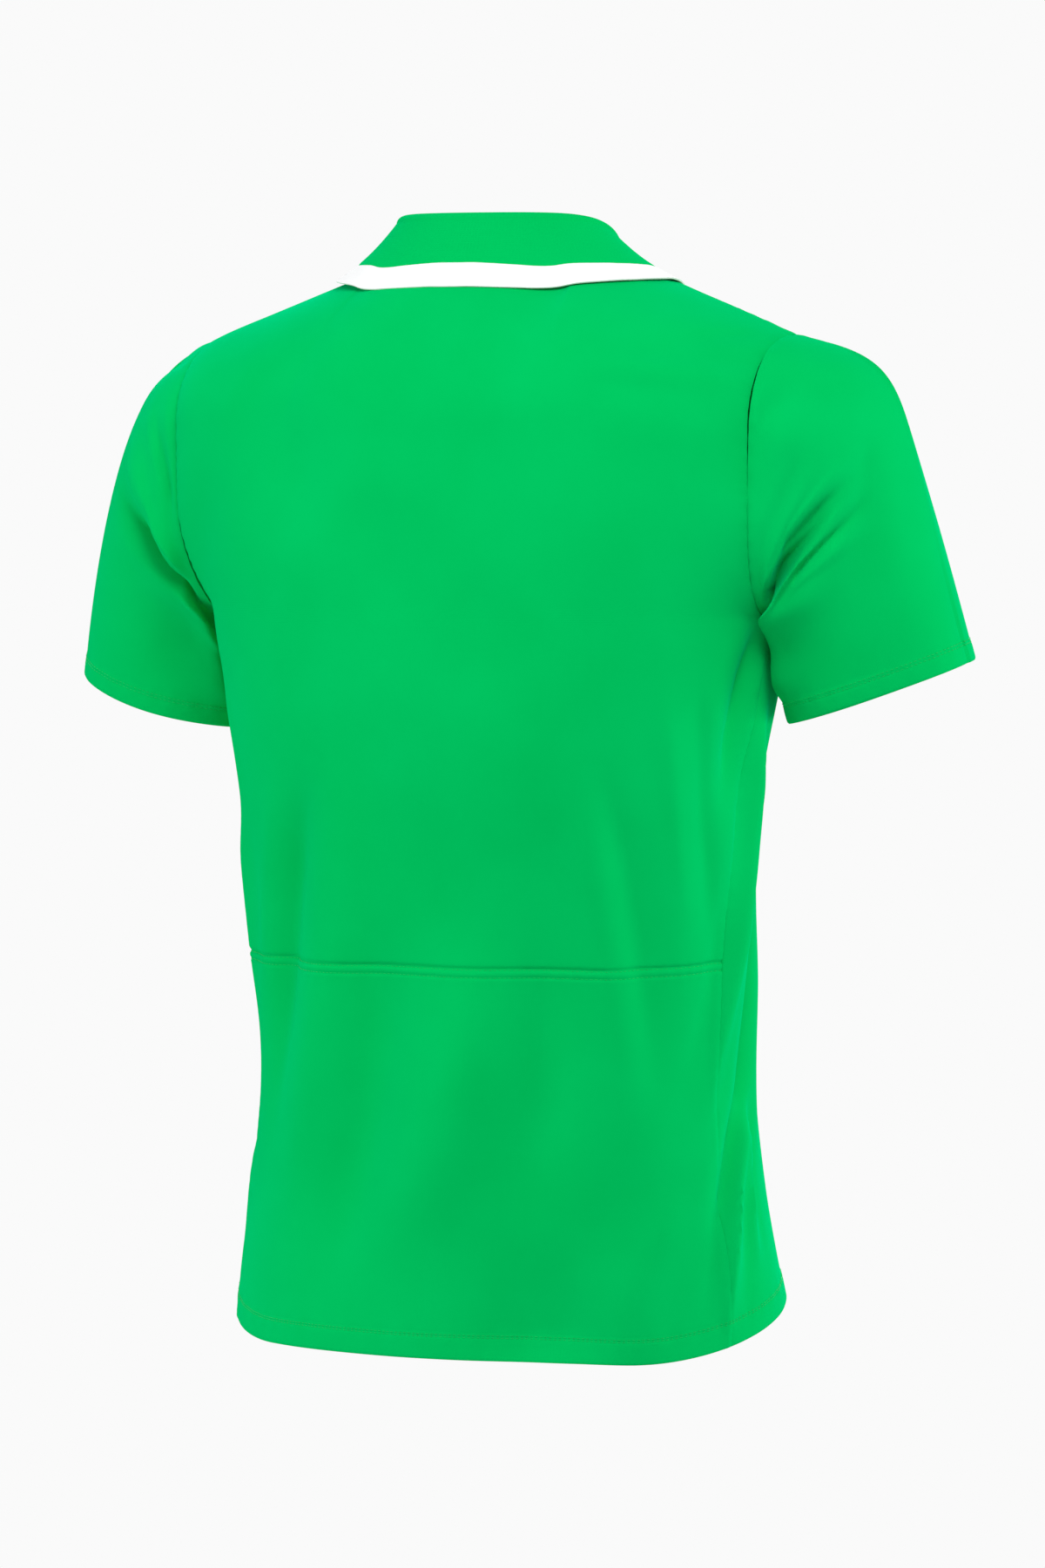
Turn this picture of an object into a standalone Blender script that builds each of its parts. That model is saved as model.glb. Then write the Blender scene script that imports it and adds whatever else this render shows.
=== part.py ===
"""A short-sleeved polo shirt, worn and hollow, with +Z up and the wearer facing -Y.

The origin is on the centre plane at the height of the neck points, where the shoulders carry the shirt.
Every cloth piece is a closed wall: an outer skin worked out from the tables below, an inner skin one
cloth thickness under it, and a rim round each edge. Pieces stop short of each other at their seams.
"""

from functools import cache
from math import cos, pi, radians, sin

import bmesh
import bpy
import numpy as np
from mathutils import Matrix

SEAM_GAP = 0.0003
CLOTH = 0.0015
HEM_CLOTH = 0.0024
RIB_CLOTH = 0.0020

# Body: heights of the hem, the cross seam in the back and the bottom of the armholes.
HEM_Z = -0.719
BACK_SEAM_Z = -0.461
ARMPIT_Z = -0.235
HEM_BAND = 0.018
ROUND_X = 2.15
ROUND_Y = 2.05
# The hem rises towards the front, beyond LIFT_FROM and over LIFT_OVER, up to a share of the lower body.
FRONT_LIFT = 0.036
LIFT_FROM = radians(40)
LIFT_OVER = radians(80)
LIFT_HEIGHT = 0.75

# One row for each level of the body, under a row of column names. The seam angle is from the centre back.
BODY_RINGS = (
    ("height", "half_width", "half_depth", "centre_y", "side_seam_deg"),
    (-0.719, 0.1990, 0.1210, -0.018, 68.0),
    (-0.680, 0.1940, 0.1200, -0.017, 69.0),
    (-0.610, 0.1825, 0.1160, -0.014, 72.0),
    (-0.540, 0.1750, 0.1130, -0.009, 75.0),
    (-0.470, 0.1750, 0.1120, -0.007, 78.0),
    (-0.400, 0.1790, 0.1145, -0.002, 81.5),
    (-0.340, 0.1860, 0.1190, 0.003, 85.0),
    (-0.290, 0.1950, 0.1230, 0.005, 88.0),
    (-0.235, 0.2035, 0.1260, 0.005, 90.0),
    (-0.150, 0.2080, 0.1270, 0.003, 90.0),
    (-0.080, 0.2080, 0.1220, 0.000, 90.0),
    (0.010, 0.2080, 0.1140, -0.004, 90.0),
)

# Armhole edge of the back and of the front, from the armpit (0) to the shoulder tip (1).
ARMHOLE = (
    ("share_of_height", "back_x", "front_x"),
    (0.00, 0.2035, 0.2035),
    (0.25, 0.2065, 0.1975),
    (0.60, 0.2075, 0.1930),
    (0.85, 0.2090, 0.2010),
    (1.00, 0.2110, 0.2110),
)
ARMHOLE_HALF_DEPTH = {1: 0.056, -1: 0.060}
ARMHOLE_SCOOP = 0.36

# Shoulder line and neckline.
NECK_X = 0.074
NECK_Y = -0.014
TIP_X = 0.211
TIP_Y = -0.014
TIP_Z = -0.048
SHOULDER_BOW = 1.2
NECK_REACH = {1: 0.060, -1: 0.066}
NECK_RISE = {1: 0.004, -1: -0.072}
NECK_DROP = 2.1
NECK_SHARE = 0.5
# The body rounds over to the shoulder line: its height for the middle, the neck point and the tip, its
# depth over the middle and at the tip, and how far it has turned round at the neckline.
ROUND_HEIGHT = {1: (0.110, 0.100, 0.060), -1: (0.075, 0.105, 0.070)}
ROUND_DEPTH = (0.115, 0.060)
ROUND_DEPTH_X = (0.10, 0.21)
ROUND_ARC = 1.1
NECK_TURN = {1: radians(55), -1: radians(52)}

# Sleeves, as for the wearer's left: cuff ring, the way each hangs, and how far its cap stands out.
SLEEVES = {
    "sleeve_left": {"cuff": (0.266, -0.034, -0.2925), "down": (0.290, -0.150, -0.945), "cap": 0.62},
    "sleeve_right": {"cuff": (0.263, -0.031, -0.2815), "down": (0.304, -0.155, -0.940), "cap": 0.94},
}
CUFF_HALF_WIDTH = 0.067
CUFF_HALF_DEPTH = 0.050
SLEEVE_TAPER = 0.09
# How the sleeve leaves the armhole, by place round it: 0 at the shoulder, 0.25 back, 0.5 armpit, 0.75 front.
SLEEVE_LEAVES = (
    ("place", "leave_x", "leave_y", "leave_z", "leave_reach", "arrive_reach"),
    (0.00, 0.97, 0.00, -0.24, 0.100, 0.200),
    (0.25, 0.93, 0.05, -0.34, 0.050, 0.110),
    (0.50, 0.92, -0.03, 0.22, 0.020, 0.034),
    (0.75, 0.93, -0.05, -0.34, 0.050, 0.110),
    (1.00, 0.97, 0.00, -0.24, 0.100, 0.200),
)

# Collar: radii and height of the fold, and the ring in plan where the leaf comes to rest.
FOLD_X = 0.0735
FOLD_BACK = 0.060
FOLD_FRONT = 0.058
FOLD_Y = -0.014
FOLD_Z = {1: 0.0280, -1: -0.036}
FOLD_DROP = 2.9
FOLD_RADIUS = 0.0045
LEAF_MARGIN = {"back": 0.033, "side": 0.033, "front": 0.029}
LEAF_LIFT = 0.0052
LEAF_BOW = -0.0015
COLLAR_OPENING = radians(3.0)
LEAF_OPENING = radians(24.0)
LEAF_OPENS_FROM = radians(95)
LEAF_OPENS_OVER = radians(80)
BORDER = 0.0165

# Placket and buttons.
PLACKET_HALF = 0.016
PLACKET_LENGTH = 0.150
SLIT_LENGTH = 0.138
PLACKET_TOP = 0.001
PLACKET_CLOTH = 0.0012
PLACKET_GAP = 0.0007
BUTTON_RADIUS = 0.0058
BUTTON_THICKNESS = 0.0026
BUTTON_GAP = 0.0004
BUTTON_HOLE = 0.0009
BUTTON_HOLE_PITCH = 0.0013
BUTTON_DEPTHS = (0.018, 0.066, 0.114)
BUTTON_SEGMENTS = 24
BUTTON_PROFILE = (
    ("share_of_radius", "share_of_thickness"),
    (0.92, 0.00),
    (1.00, 0.35),
    (0.93, 1.00),
    (0.72, 0.95),
    (0.62, 0.62),
)

# Divisions of the cloth.
NECK_CELLS = 16
SHOULDER_CELLS = 8
LOWER_ROWS = 8
MIDDLE_ROWS = 6
TOP_ROWS = 12
SLEEVE_ROWS = 10
CUFF_ROW = 0.93
STAND_ROWS = 2
FOLD_ROWS = 4
LEAF_ROWS = 3
PLACKET_ROWS = 12
PLACKET_CELLS = 4

# Soft folds of the body: where each begins and ends, as the angle from the centre back (positive to
# the wearer's left) and the height, with its half width and its rise over the plain body in metres.
BODY_FOLDS = (
    ("from_deg", "from_z", "to_deg", "to_z", "half_width", "rise"),
    (30, -0.345, 48, -0.560, 0.026, -0.0035),
    (-40, -0.370, -53, -0.575, 0.024, -0.0035),
    (-88, -0.320, -84, -0.500, 0.014, 0.0030),
    (-80, -0.530, -62, -0.620, 0.014, 0.0035),
    (-98, -0.545, -72, -0.665, 0.013, 0.0035),
    (84, -0.330, 88, -0.540, 0.018, 0.0030),
    (-66, -0.275, -72, -0.400, 0.018, -0.0040),
    (66, -0.275, 72, -0.400, 0.018, -0.0035),
    (22, -0.560, -8, -0.690, 0.030, -0.0030),
    (-150, -0.340, -140, -0.600, 0.028, -0.0035),
    (152, -0.330, 142, -0.600, 0.028, -0.0035),
)
FOLD_ARC = 0.155
# A fold runs on past its two ends by a share of its length, and fades over a larger one. Folds keep
# clear of the armpits, and stop by a share of the upper body's height.
FOLD_OVERRUN = 0.12
FOLD_FADE = 0.35
ARMPIT_CLEAR = 0.05
UPPER_FADE = 0.5

# Folds of the sleeves, by place round the armhole and share of the length from armhole to cuff.
SLEEVE_FOLDS = {
    "sleeve_left": (
        ("from_place", "from_share", "to_place", "to_share", "half_width", "rise"),
        (0.42, 0.34, 0.12, 0.52, 0.011, -0.0060),
        (0.36, 0.22, 0.14, 0.36, 0.010, 0.0045),
        (0.44, 0.86, 0.40, 0.45, 0.012, -0.0045),
        (0.62, 0.34, 0.84, 0.55, 0.013, -0.0045),
    ),
    "sleeve_right": (
        ("from_place", "from_share", "to_place", "to_share", "half_width", "rise"),
        (0.42, 0.26, 0.16, 0.50, 0.011, -0.0060),
        (0.40, 0.40, 0.17, 0.60, 0.010, -0.0030),
        (0.40, 0.16, 0.18, 0.36, 0.010, 0.0035),
        (0.62, 0.34, 0.84, 0.55, 0.013, -0.0045),
    ),
}
SLEEVE_ARC = 0.37
SLEEVE_RUN = 0.22
SLEEVE_FADE = {"armhole": 0.30, "cuff": 0.12, "seam": 0.12}


def read_table(table, at):
    """Each named column of a table at the places given, on a smooth curve through its rows."""
    names, rows = table[0], np.array(table[1:])
    knots, values = rows[:, 0], rows[:, 1:]
    slopes = np.gradient(values, knots, axis=0)
    at = np.clip(at, knots[0], knots[-1])
    row = np.clip(np.searchsorted(knots, at) - 1, 0, len(knots) - 2)
    step = (knots[row + 1] - knots[row])[..., None]
    f = (at - knots[row])[..., None] / step
    leaving = (1 + 2 * f) * (1 - f) ** 2 * values[row] + f * (1 - f) ** 2 * step * slopes[row]
    arriving = f * f * (3 - 2 * f) * values[row + 1] - f * f * (1 - f) * step * slopes[row + 1]
    return dict(zip(names[1:], np.moveaxis(leaving + arriving, -1, 0)))


def ease(x):
    """0 to 1 with level ends."""
    x = np.clip(x, 0.0, 1.0)
    return x * x * (3 - 2 * x)


def unit(vectors):
    return vectors / np.maximum(np.linalg.norm(vectors, axis=-1, keepdims=True), 1e-12)


def along_fold(a, b, start, end, half_width):
    """How strongly each point (a, b) feels a fold that runs from start to end and fades at both."""
    run = np.subtract(end, start)
    length = np.hypot(*run)
    share = ((a - start[0]) * run[0] + (b - start[1]) * run[1]) / length**2
    across = ((a - start[0]) * run[1] - (b - start[1]) * run[0]) / length
    begun = ease((share + FOLD_OVERRUN) / FOLD_FADE)
    left = ease((1 + FOLD_OVERRUN - share) / FOLD_FADE)
    return np.exp(-((across / half_width) ** 2)) * begun * left


def body_relief(angle, z):
    """Height of the folds over the plain body, at an angle from the centre back."""
    height = np.zeros(np.broadcast(angle, z).shape)
    for from_deg, from_z, to_deg, to_z, half_width, rise in BODY_FOLDS[1:]:
        for turn in (-2 * pi, 0.0, 2 * pi):
            start = ((radians(from_deg) + turn) * FOLD_ARC, from_z)
            end = ((radians(to_deg) + turn) * FOLD_ARC, to_z)
            height += rise * along_fold(angle * FOLD_ARC, z, start, end, half_width)
    from_armpit = np.hypot((np.abs(angle) - pi / 2) * FOLD_ARC, z - ARMPIT_Z)
    return height * ease(from_armpit / ARMPIT_CLEAR)


def superellipse(angle, half_width, half_depth):
    across, back = np.sin(angle), np.cos(angle)
    x = half_width * np.sign(across) * np.abs(across) ** (2 / ROUND_X)
    y = half_depth * np.sign(back) * np.abs(back) ** (2 / ROUND_Y)
    return x, y


def lower_body(side, u, v):
    """Body below the armpits. u runs from -1 at the right side seam to 1, v from 0 at the hem to 1."""
    u, v = np.broadcast_arrays(u, v)
    level = HEM_Z + (ARMPIT_Z - HEM_Z) * v
    seam = np.radians(read_table(BODY_RINGS, level)["side_seam_deg"])
    angle = u * seam if side > 0 else pi - u * (pi - seam)
    angle = np.where(angle > pi, angle - 2 * pi, angle)
    lift = FRONT_LIFT * ease((np.abs(angle) - LIFT_FROM) / LIFT_OVER)
    z = level + lift * (1 - ease(v / LIFT_HEIGHT))
    ring = read_table(BODY_RINGS, z)
    x, y = superellipse(angle, ring["half_width"], ring["half_depth"])
    out = unit(np.stack([x / ring["half_width"] ** 2, y / ring["half_depth"] ** 2, 0 * x], axis=-1))
    points = np.stack([x, y + ring["centre_y"], z], axis=-1)
    return points + out * body_relief(angle, z)[..., None]


def column_top(side, u):
    """Top edge of each column: neckline near the middle, shoulder line outside it."""
    turn = np.clip(np.abs(u) / NECK_SHARE, 0, 1) * pi / 2
    outward = np.clip((np.abs(u) - NECK_SHARE) / (1 - NECK_SHARE), 0, 1)
    x = np.sign(u) * (NECK_X * np.sin(turn) + (TIP_X - NECK_X) * outward)
    y = NECK_Y + side * NECK_REACH[side] * np.cos(turn) + (TIP_Y - NECK_Y) * outward
    z = NECK_RISE[side] * np.cos(turn) ** NECK_DROP + TIP_Z * outward**SHOULDER_BOW
    middle, neck, tip = ROUND_HEIGHT[side]
    height = np.where(outward > 0, neck + (tip - neck) * outward, neck + (middle - neck) * np.cos(turn))
    bend = pi / 2 - (pi / 2 - NECK_TURN[side]) * np.cos(turn)
    return x, y, z, height, bend


def upper_body(side, u, s):
    """Body above the armpits. s runs from 0 at armpit height to 1 at the shoulder line and neckline."""
    u, s = np.broadcast_arrays(u, s)
    top_x, top_y, top_z, round_height, bend = column_top(side, u)
    straight = top_z - ARMPIT_Z - round_height
    outer = ease((np.abs(top_x) - ROUND_DEPTH_X[0]) / (ROUND_DEPTH_X[1] - ROUND_DEPTH_X[0]))
    depth = ROUND_DEPTH[0] + (ROUND_DEPTH[1] - ROUND_DEPTH[0]) * outer
    arc = ROUND_ARC * np.hypot(round_height, depth) * bend / (pi / 2)
    travelled = s * (straight + arc)
    turned = np.clip((travelled - straight) / arc, 0, 1) * bend
    z = ARMPIT_Z + np.minimum(travelled, straight) + round_height * np.sin(turned) / np.sin(bend)
    kept = (np.cos(turned) - np.cos(bend)) / (1 - np.cos(bend))
    edge_x = read_table(ARMHOLE, s)["back_x" if side > 0 else "front_x"]
    edge_y = ARMHOLE_HALF_DEPTH[side] * np.sqrt(1 - (1 - np.clip(s / ARMHOLE_SCOOP, 0, 1)) ** 2)
    ring = read_table(BODY_RINGS, z)
    half_depth, centre_y = ring["half_depth"], ring["centre_y"]
    edge_angle = np.arccos(np.clip(edge_y / half_depth, 0, 1) ** (ROUND_Y / 2))
    reach = edge_x / np.sin(edge_angle) ** (2 / ROUND_X)
    ring_x = reach * np.sign(u) * np.abs(np.sin(u * edge_angle)) ** (2 / ROUND_X)
    x = ring_x + (top_x * edge_x / TIP_X - ring_x) * ease(s)
    share = np.clip(1 - np.abs(x / reach) ** ROUND_X, 0, 1) ** (1 / ROUND_Y)
    edge_share = np.clip(1 - np.abs(edge_x / reach) ** ROUND_X, 0, 1) ** (1 / ROUND_Y)
    share = np.where(np.abs(u) >= 1, edge_share, share)
    y = centre_y + side * half_depth * share
    points = np.stack([x, top_y + (y - top_y) * kept, z], axis=-1)
    angle = u * pi / 2 if side > 0 else pi - u * pi / 2
    angle = np.where(angle > pi, angle - 2 * pi, angle)
    out = unit(np.stack([x / edge_x**2, (y - centre_y) / half_depth**2, 0 * x], axis=-1))
    from_armhole = ease((1 - np.abs(u)) / 0.25)
    fade = (1 - ease(s / UPPER_FADE)) * (1 - (1 - from_armhole) * ease(s / 0.1))
    return points + out * (body_relief(angle, z) * fade)[..., None]


def skin(surface, side, u, v, step=1e-3):
    """Points of a body surface and its outward normals."""
    u, v = np.broadcast_arrays(np.asarray(u, float), np.asarray(v, float))
    closed = surface is lower_body
    left, right = (u - step, u + step) if closed else (np.maximum(u - step, -1), np.minimum(u + step, 1))
    down, up = np.maximum(v - step, 0), np.minimum(v + step, 1)
    across = surface(side, right, v) - surface(side, left, v)
    climb = surface(side, u, up) - surface(side, u, down)
    return surface(side, u, v), -side * unit(np.cross(across, climb))


def armhole_steps(side, cells):
    """Shares of the armhole's height that space its points evenly along its edge."""
    s = np.linspace(0, 1, 801)
    edge = upper_body(side, 1.0, s)
    length = np.concatenate([[0], np.cumsum(np.linalg.norm(np.diff(edge, axis=0), axis=1))])
    return np.interp(np.linspace(0, length[-1], cells + 1), length, s)


def panel_columns():
    neck = np.linspace(-NECK_SHARE, NECK_SHARE, NECK_CELLS + 1)
    shoulder = np.linspace(NECK_SHARE, 1, SHOULDER_CELLS + 1)[1:]
    return np.concatenate([-shoulder[::-1], neck, shoulder])


def lower_steps():
    """Row places below the armpits, with one row at the top of the hem and one at the cross seam."""
    height = ARMPIT_Z - HEM_Z
    seam = (BACK_SEAM_Z - HEM_Z) / height
    below = np.linspace(HEM_BAND / height, seam, LOWER_ROWS)
    above = np.linspace(seam, 1, MIDDLE_ROWS + 1)[1:]
    return np.concatenate([[0.0], below]), np.concatenate([[seam], above])


def normals_of(grid, ring=False):
    """Unit normals of a grid of points, to the right of its rows as they climb."""
    if ring:
        around = np.roll(grid, -1, axis=1) - np.roll(grid, 1, axis=1)
    else:
        around = np.gradient(grid, axis=1)
    climb = np.gradient(grid, axis=0)
    return unit(np.cross(around, climb))


def pull_in(grid, normals, edges, amount=SEAM_GAP / 2):
    """Moves the named edges of a grid inwards, square to the edge and along the cloth."""
    moved = grid.copy()
    picks = {"bottom": (0, 1, 0), "top": (-1, -2, 0), "left": (0, 1, 1), "right": (-1, -2, 1)}
    for edge in edges:
        at, inner, axis = picks[edge]
        line, inside, normal = (np.take(a, i, axis=axis) for a, i in ((grid, at), (grid, inner), (normals, at)))
        square = unit(np.cross(normal, np.gradient(line, axis=0)))
        square *= np.sign(np.sum(square * (inside - line), axis=1))[:, None]
        if axis == 0:
            moved[at] += amount * square
        else:
            moved[:, at] += amount * square
    return moved


def wall(name, outer, normals, thickness, colour, ring=False, keep=None):
    """A closed wall from a grid of outer points: the kept cells, their inner copies and the rim."""
    rows, columns = outer.shape[:2]
    inner = outer - normals * np.broadcast_to(thickness, (rows, columns))[..., None]
    spans = columns if ring else columns - 1
    keep = np.ones((rows - 1, spans), bool) if keep is None else keep
    builder = bmesh.new()
    skins = []
    for points in (outer, inner):
        skins.append([[builder.verts.new(point) for point in row] for row in points])
    borders = {}
    for i in range(rows - 1):
        for j in range(spans):
            if not keep[i, j]:
                continue
            k = (j + 1) % columns
            loop = [(i, j), (i, k), (i + 1, k), (i + 1, j)]
            builder.faces.new([skins[0][a][b] for a, b in loop])
            builder.faces.new([skins[1][a][b] for a, b in reversed(loop)])
            for here, there in zip(loop, loop[1:] + loop[:1]):
                if borders.pop((there, here), None) is None:
                    borders[(here, there)] = True
    for (a, b), (c, d) in borders:
        builder.faces.new([skins[0][c][d], skins[0][a][b], skins[1][a][b], skins[1][c][d]])
    loose = [vert for vert in builder.verts if not vert.link_faces]
    bmesh.ops.delete(builder, geom=loose, context="VERTS")
    mesh = bpy.data.meshes.new(name)
    builder.to_mesh(mesh)
    builder.free()
    return place(name, mesh, colour)


MATERIALS = {
    "green": ((0.003, 0.52, 0.125, 1.0), 0.55),
    "white": ((0.90, 0.91, 0.92, 1.0), 0.65),
    "button": ((0.01, 0.42, 0.11, 1.0), 0.30),
}


def material_for(name, colour):
    material = bpy.data.materials.new(name)
    material.use_nodes = True
    surface = material.node_tree.nodes["Principled BSDF"]
    base, roughness = MATERIALS[colour]
    surface.inputs["Base Color"].default_value = base
    surface.inputs["Roughness"].default_value = roughness
    surface.inputs["Metallic"].default_value = 0.0
    return material


def place(name, mesh, colour):
    piece = bpy.data.objects.new(name, mesh)
    mesh.materials.append(material_for(name, colour))
    bpy.context.scene.collection.objects.link(piece)
    mesh.shade_smooth()
    mesh.set_sharp_from_angle(angle=radians(50))
    return piece


def panel_wall(name, side, panel, edges, thickness, keep=None):
    """Wall of a body panel. The back's columns are turned round, so that both panels face out."""
    grid, normals = panel
    grid = pull_in(grid, normals, edges)
    if side > 0:
        grid, normals = grid[:, ::-1], normals[:, ::-1]
    return wall(name, grid, normals, thickness, "green", keep=keep)


def stack(*panels):
    return [np.concatenate(parts) for parts in zip(*panels)]


def hem_thickness(rows, hem_rows):
    """The turned-up hem is thicker than the single cloth above it."""
    thickness = np.full((rows, 1), CLOTH)
    thickness[:hem_rows] = HEM_CLOTH
    return thickness


def make_back():
    u = panel_columns()[None, :]
    below, above = lower_steps()
    lower = skin(lower_body, 1, u, below[:, None])
    panel_wall("back_lower", 1, lower, ("top", "left", "right"), hem_thickness(len(below), 2))
    middle = skin(lower_body, 1, u, above[:, None])
    top = skin(upper_body, 1, u, armhole_steps(1, TOP_ROWS)[1:, None])
    panel_wall("back_upper", 1, stack(middle, top), ("bottom", "top", "left", "right"), CLOTH)


def make_front():
    u = panel_columns()[None, :]
    below, above = lower_steps()
    lower = skin(lower_body, -1, u, np.concatenate([below, above[1:]])[:, None])
    top = skin(upper_body, -1, u, armhole_steps(-1, TOP_ROWS)[1:, None])
    panel = stack(lower, top)
    rows, columns = panel[0].shape[:2]
    middle = columns // 2
    depth = panel[0][-1, middle, 2] - panel[0][:, middle, 2]
    keep = np.ones((rows - 1, columns - 1), bool)
    keep[depth[:-1] < SLIT_LENGTH, middle - 1 : middle + 1] = False
    panel_wall("front", -1, panel, ("top", "left", "right"), hem_thickness(rows, 2), keep)


def edge_data(side):
    """Armhole edge on the wearer's left, from the armpit up: its points and the cloth's normals."""
    points, normals = skin(upper_body, side, 1.0, armhole_steps(side, TOP_ROWS))
    normals[0] = (1.0, 0.0, 0.0)
    return points, normals


def armhole_loop():
    """The left armhole from the shoulder tip down the back to the armpit and up the front."""
    back, front = edge_data(1), edge_data(-1)
    return [np.concatenate([b[::-1], f[1:-1]]) for b, f in zip(back, front)]


def sleeve_relief(name, place, share):
    """Height of a sleeve's folds, which fade towards the armhole, the cuff and the seam under the arm."""
    place, share = np.broadcast_arrays(place, share)
    height = np.zeros(place.shape)
    for from_place, from_share, to_place, to_share, half_width, rise in SLEEVE_FOLDS[name][1:]:
        start = (from_place * SLEEVE_ARC, from_share * SLEEVE_RUN)
        end = (to_place * SLEEVE_ARC, to_share * SLEEVE_RUN)
        height += rise * along_fold(place * SLEEVE_ARC, share * SLEEVE_RUN, start, end, half_width)
    under_arm = ease(np.abs(place - 0.5) / SLEEVE_FADE["seam"])
    ends = ease(share / SLEEVE_FADE["armhole"]) * ease((1 - share) / SLEEVE_FADE["cuff"])
    return height * under_arm * ends


def cuff_ring(cuff, down, place):
    """The cuff's points and their directions from its centre, by place round the sleeve."""
    across = unit(np.cross(np.cross(down, (1.0, 0.0, 0.0)), down))
    rearward = np.cross(across, down)
    rearward *= np.sign(rearward[1])
    turn = 2 * pi * place[:, None]
    radial = CUFF_HALF_WIDTH * np.cos(turn) * across + CUFF_HALF_DEPTH * np.sin(turn) * rearward
    return np.array(cuff) + radial, unit(radial)


def sleeve_grid(name, share):
    """Rings of points and normals from the armhole to the cuff, one for each share of the length."""
    points, normals = armhole_loop()
    place = np.arange(len(points)) / len(points)
    leaves = read_table(SLEEVE_LEAVES, place)
    start = unit(np.stack([leaves["leave_x"], leaves["leave_y"], leaves["leave_z"]], axis=-1))
    inward = np.minimum(np.sum(start * normals, axis=1), 0)
    start = unit(start - inward[:, None] * normals)
    down = unit(np.array(SLEEVES[name]["down"]))
    cuff, radial = cuff_ring(SLEEVES[name]["cuff"], down, place)
    finish = unit(down - SLEEVE_TAPER * radial)
    first = points + SEAM_GAP / 2 * start
    stand = 1 + (SLEEVES[name]["cap"] - 1) * ((1 + np.cos(2 * pi * place)) / 2)
    leaving = first + (stand * leaves["leave_reach"])[:, None] * start
    arriving = cuff - leaves["arrive_reach"][:, None] * finish
    f = np.asarray(share)[:, None, None]
    grid = (1 - f) ** 3 * first + 3 * f * (1 - f) ** 2 * leaving + 3 * f * f * (1 - f) * arriving + f**3 * cuff
    plain = ring_normals(grid, radial)
    grid = grid + plain * sleeve_relief(name, place[None, :], np.asarray(share)[:, None])[..., None]
    return grid, ring_normals(grid, radial)


def ring_normals(grid, radial):
    normals = normals_of(grid, ring=True)
    return normals * np.sign(np.sum(normals[-1] * radial))


def make_sleeve(name):
    share = np.concatenate([np.linspace(0, CUFF_ROW, SLEEVE_ROWS), [1.0]])
    grid, normals = sleeve_grid(name, share)
    thickness = np.full((len(share), 1), CLOTH)
    thickness[-2:] = HEM_CLOTH
    if name == "sleeve_left":
        grid, normals = grid[:, ::-1], normals[:, ::-1]
    else:
        grid, normals = grid * (-1, 1, 1), normals * (-1, 1, 1)
    wall(name, grid, normals, thickness, "green", ring=True)


def neckline(turn):
    """Neckline point at each angle from the centre back."""
    u = np.abs(turn)
    side_u = np.where(u <= pi / 2, u, pi - u) / (pi / 2) * NECK_SHARE
    points = np.zeros((len(turn), 3))
    for side, chosen in ((1, u <= pi / 2), (-1, u > pi / 2)):
        x, y, z, _, _ = column_top(side, side_u[chosen])
        points[chosen] = np.stack([x, y, z], axis=-1)
    points[:, 0] *= np.sign(turn)
    return points


@cache
def dense_body():
    """Upper body points, closely spaced, from which the height under the collar is read."""
    u = np.linspace(-0.9, 0.9, 181)
    s = np.linspace(0.45, 1.0, 161)
    return np.concatenate([upper_body(side, u[None, :], s[:, None]).reshape(-1, 3) for side in (1, -1)])


def resting_height(plan):
    """Height of the body under each plan point, or a low value over the neck opening."""
    body = dense_body()
    height = np.full(len(plan), -1.0)
    for i, point in enumerate(plan):
        away = np.hypot(*(body[:, :2] - point).T)
        near = np.argpartition(away, 4)[:4]
        if away[near].min() < 0.004:
            height[i] = body[near, 2].max()
    return height


def collar_rings(turn):
    """Neckline, centre of the fold and edge of the leaf at each angle from the centre back."""
    neck = neckline(turn)
    reach = np.abs(turn)
    forward = (1 - np.cos(reach)) / 2
    fold_depth = np.where(reach <= pi / 2, FOLD_BACK, FOLD_FRONT)
    fold = np.stack([FOLD_X * np.sin(turn), FOLD_Y + fold_depth * np.cos(turn)], axis=-1)
    fold_z = FOLD_Z[1] + (FOLD_Z[-1] - FOLD_Z[1]) * forward**FOLD_DROP
    open_by = (LEAF_OPENING - COLLAR_OPENING) * ease((reach - LEAF_OPENS_FROM) / LEAF_OPENS_OVER)
    leaf_turn = np.sign(turn) * (reach - open_by)
    sideways, backward = np.sin(leaf_turn), np.cos(leaf_turn)
    ends = np.where(backward > 0, LEAF_MARGIN["back"], LEAF_MARGIN["front"])
    margin = ends + (LEAF_MARGIN["side"] - ends) * sideways**2
    neck_depth = np.where(backward > 0, NECK_REACH[1], NECK_REACH[-1])
    plan = np.stack([(NECK_X + margin) * sideways, NECK_Y + (neck_depth + margin) * backward], axis=-1)
    leaf = np.column_stack([plan, resting_height(plan) + LEAF_LIFT])
    return neck, np.column_stack([fold, fold_z]), leaf


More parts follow.
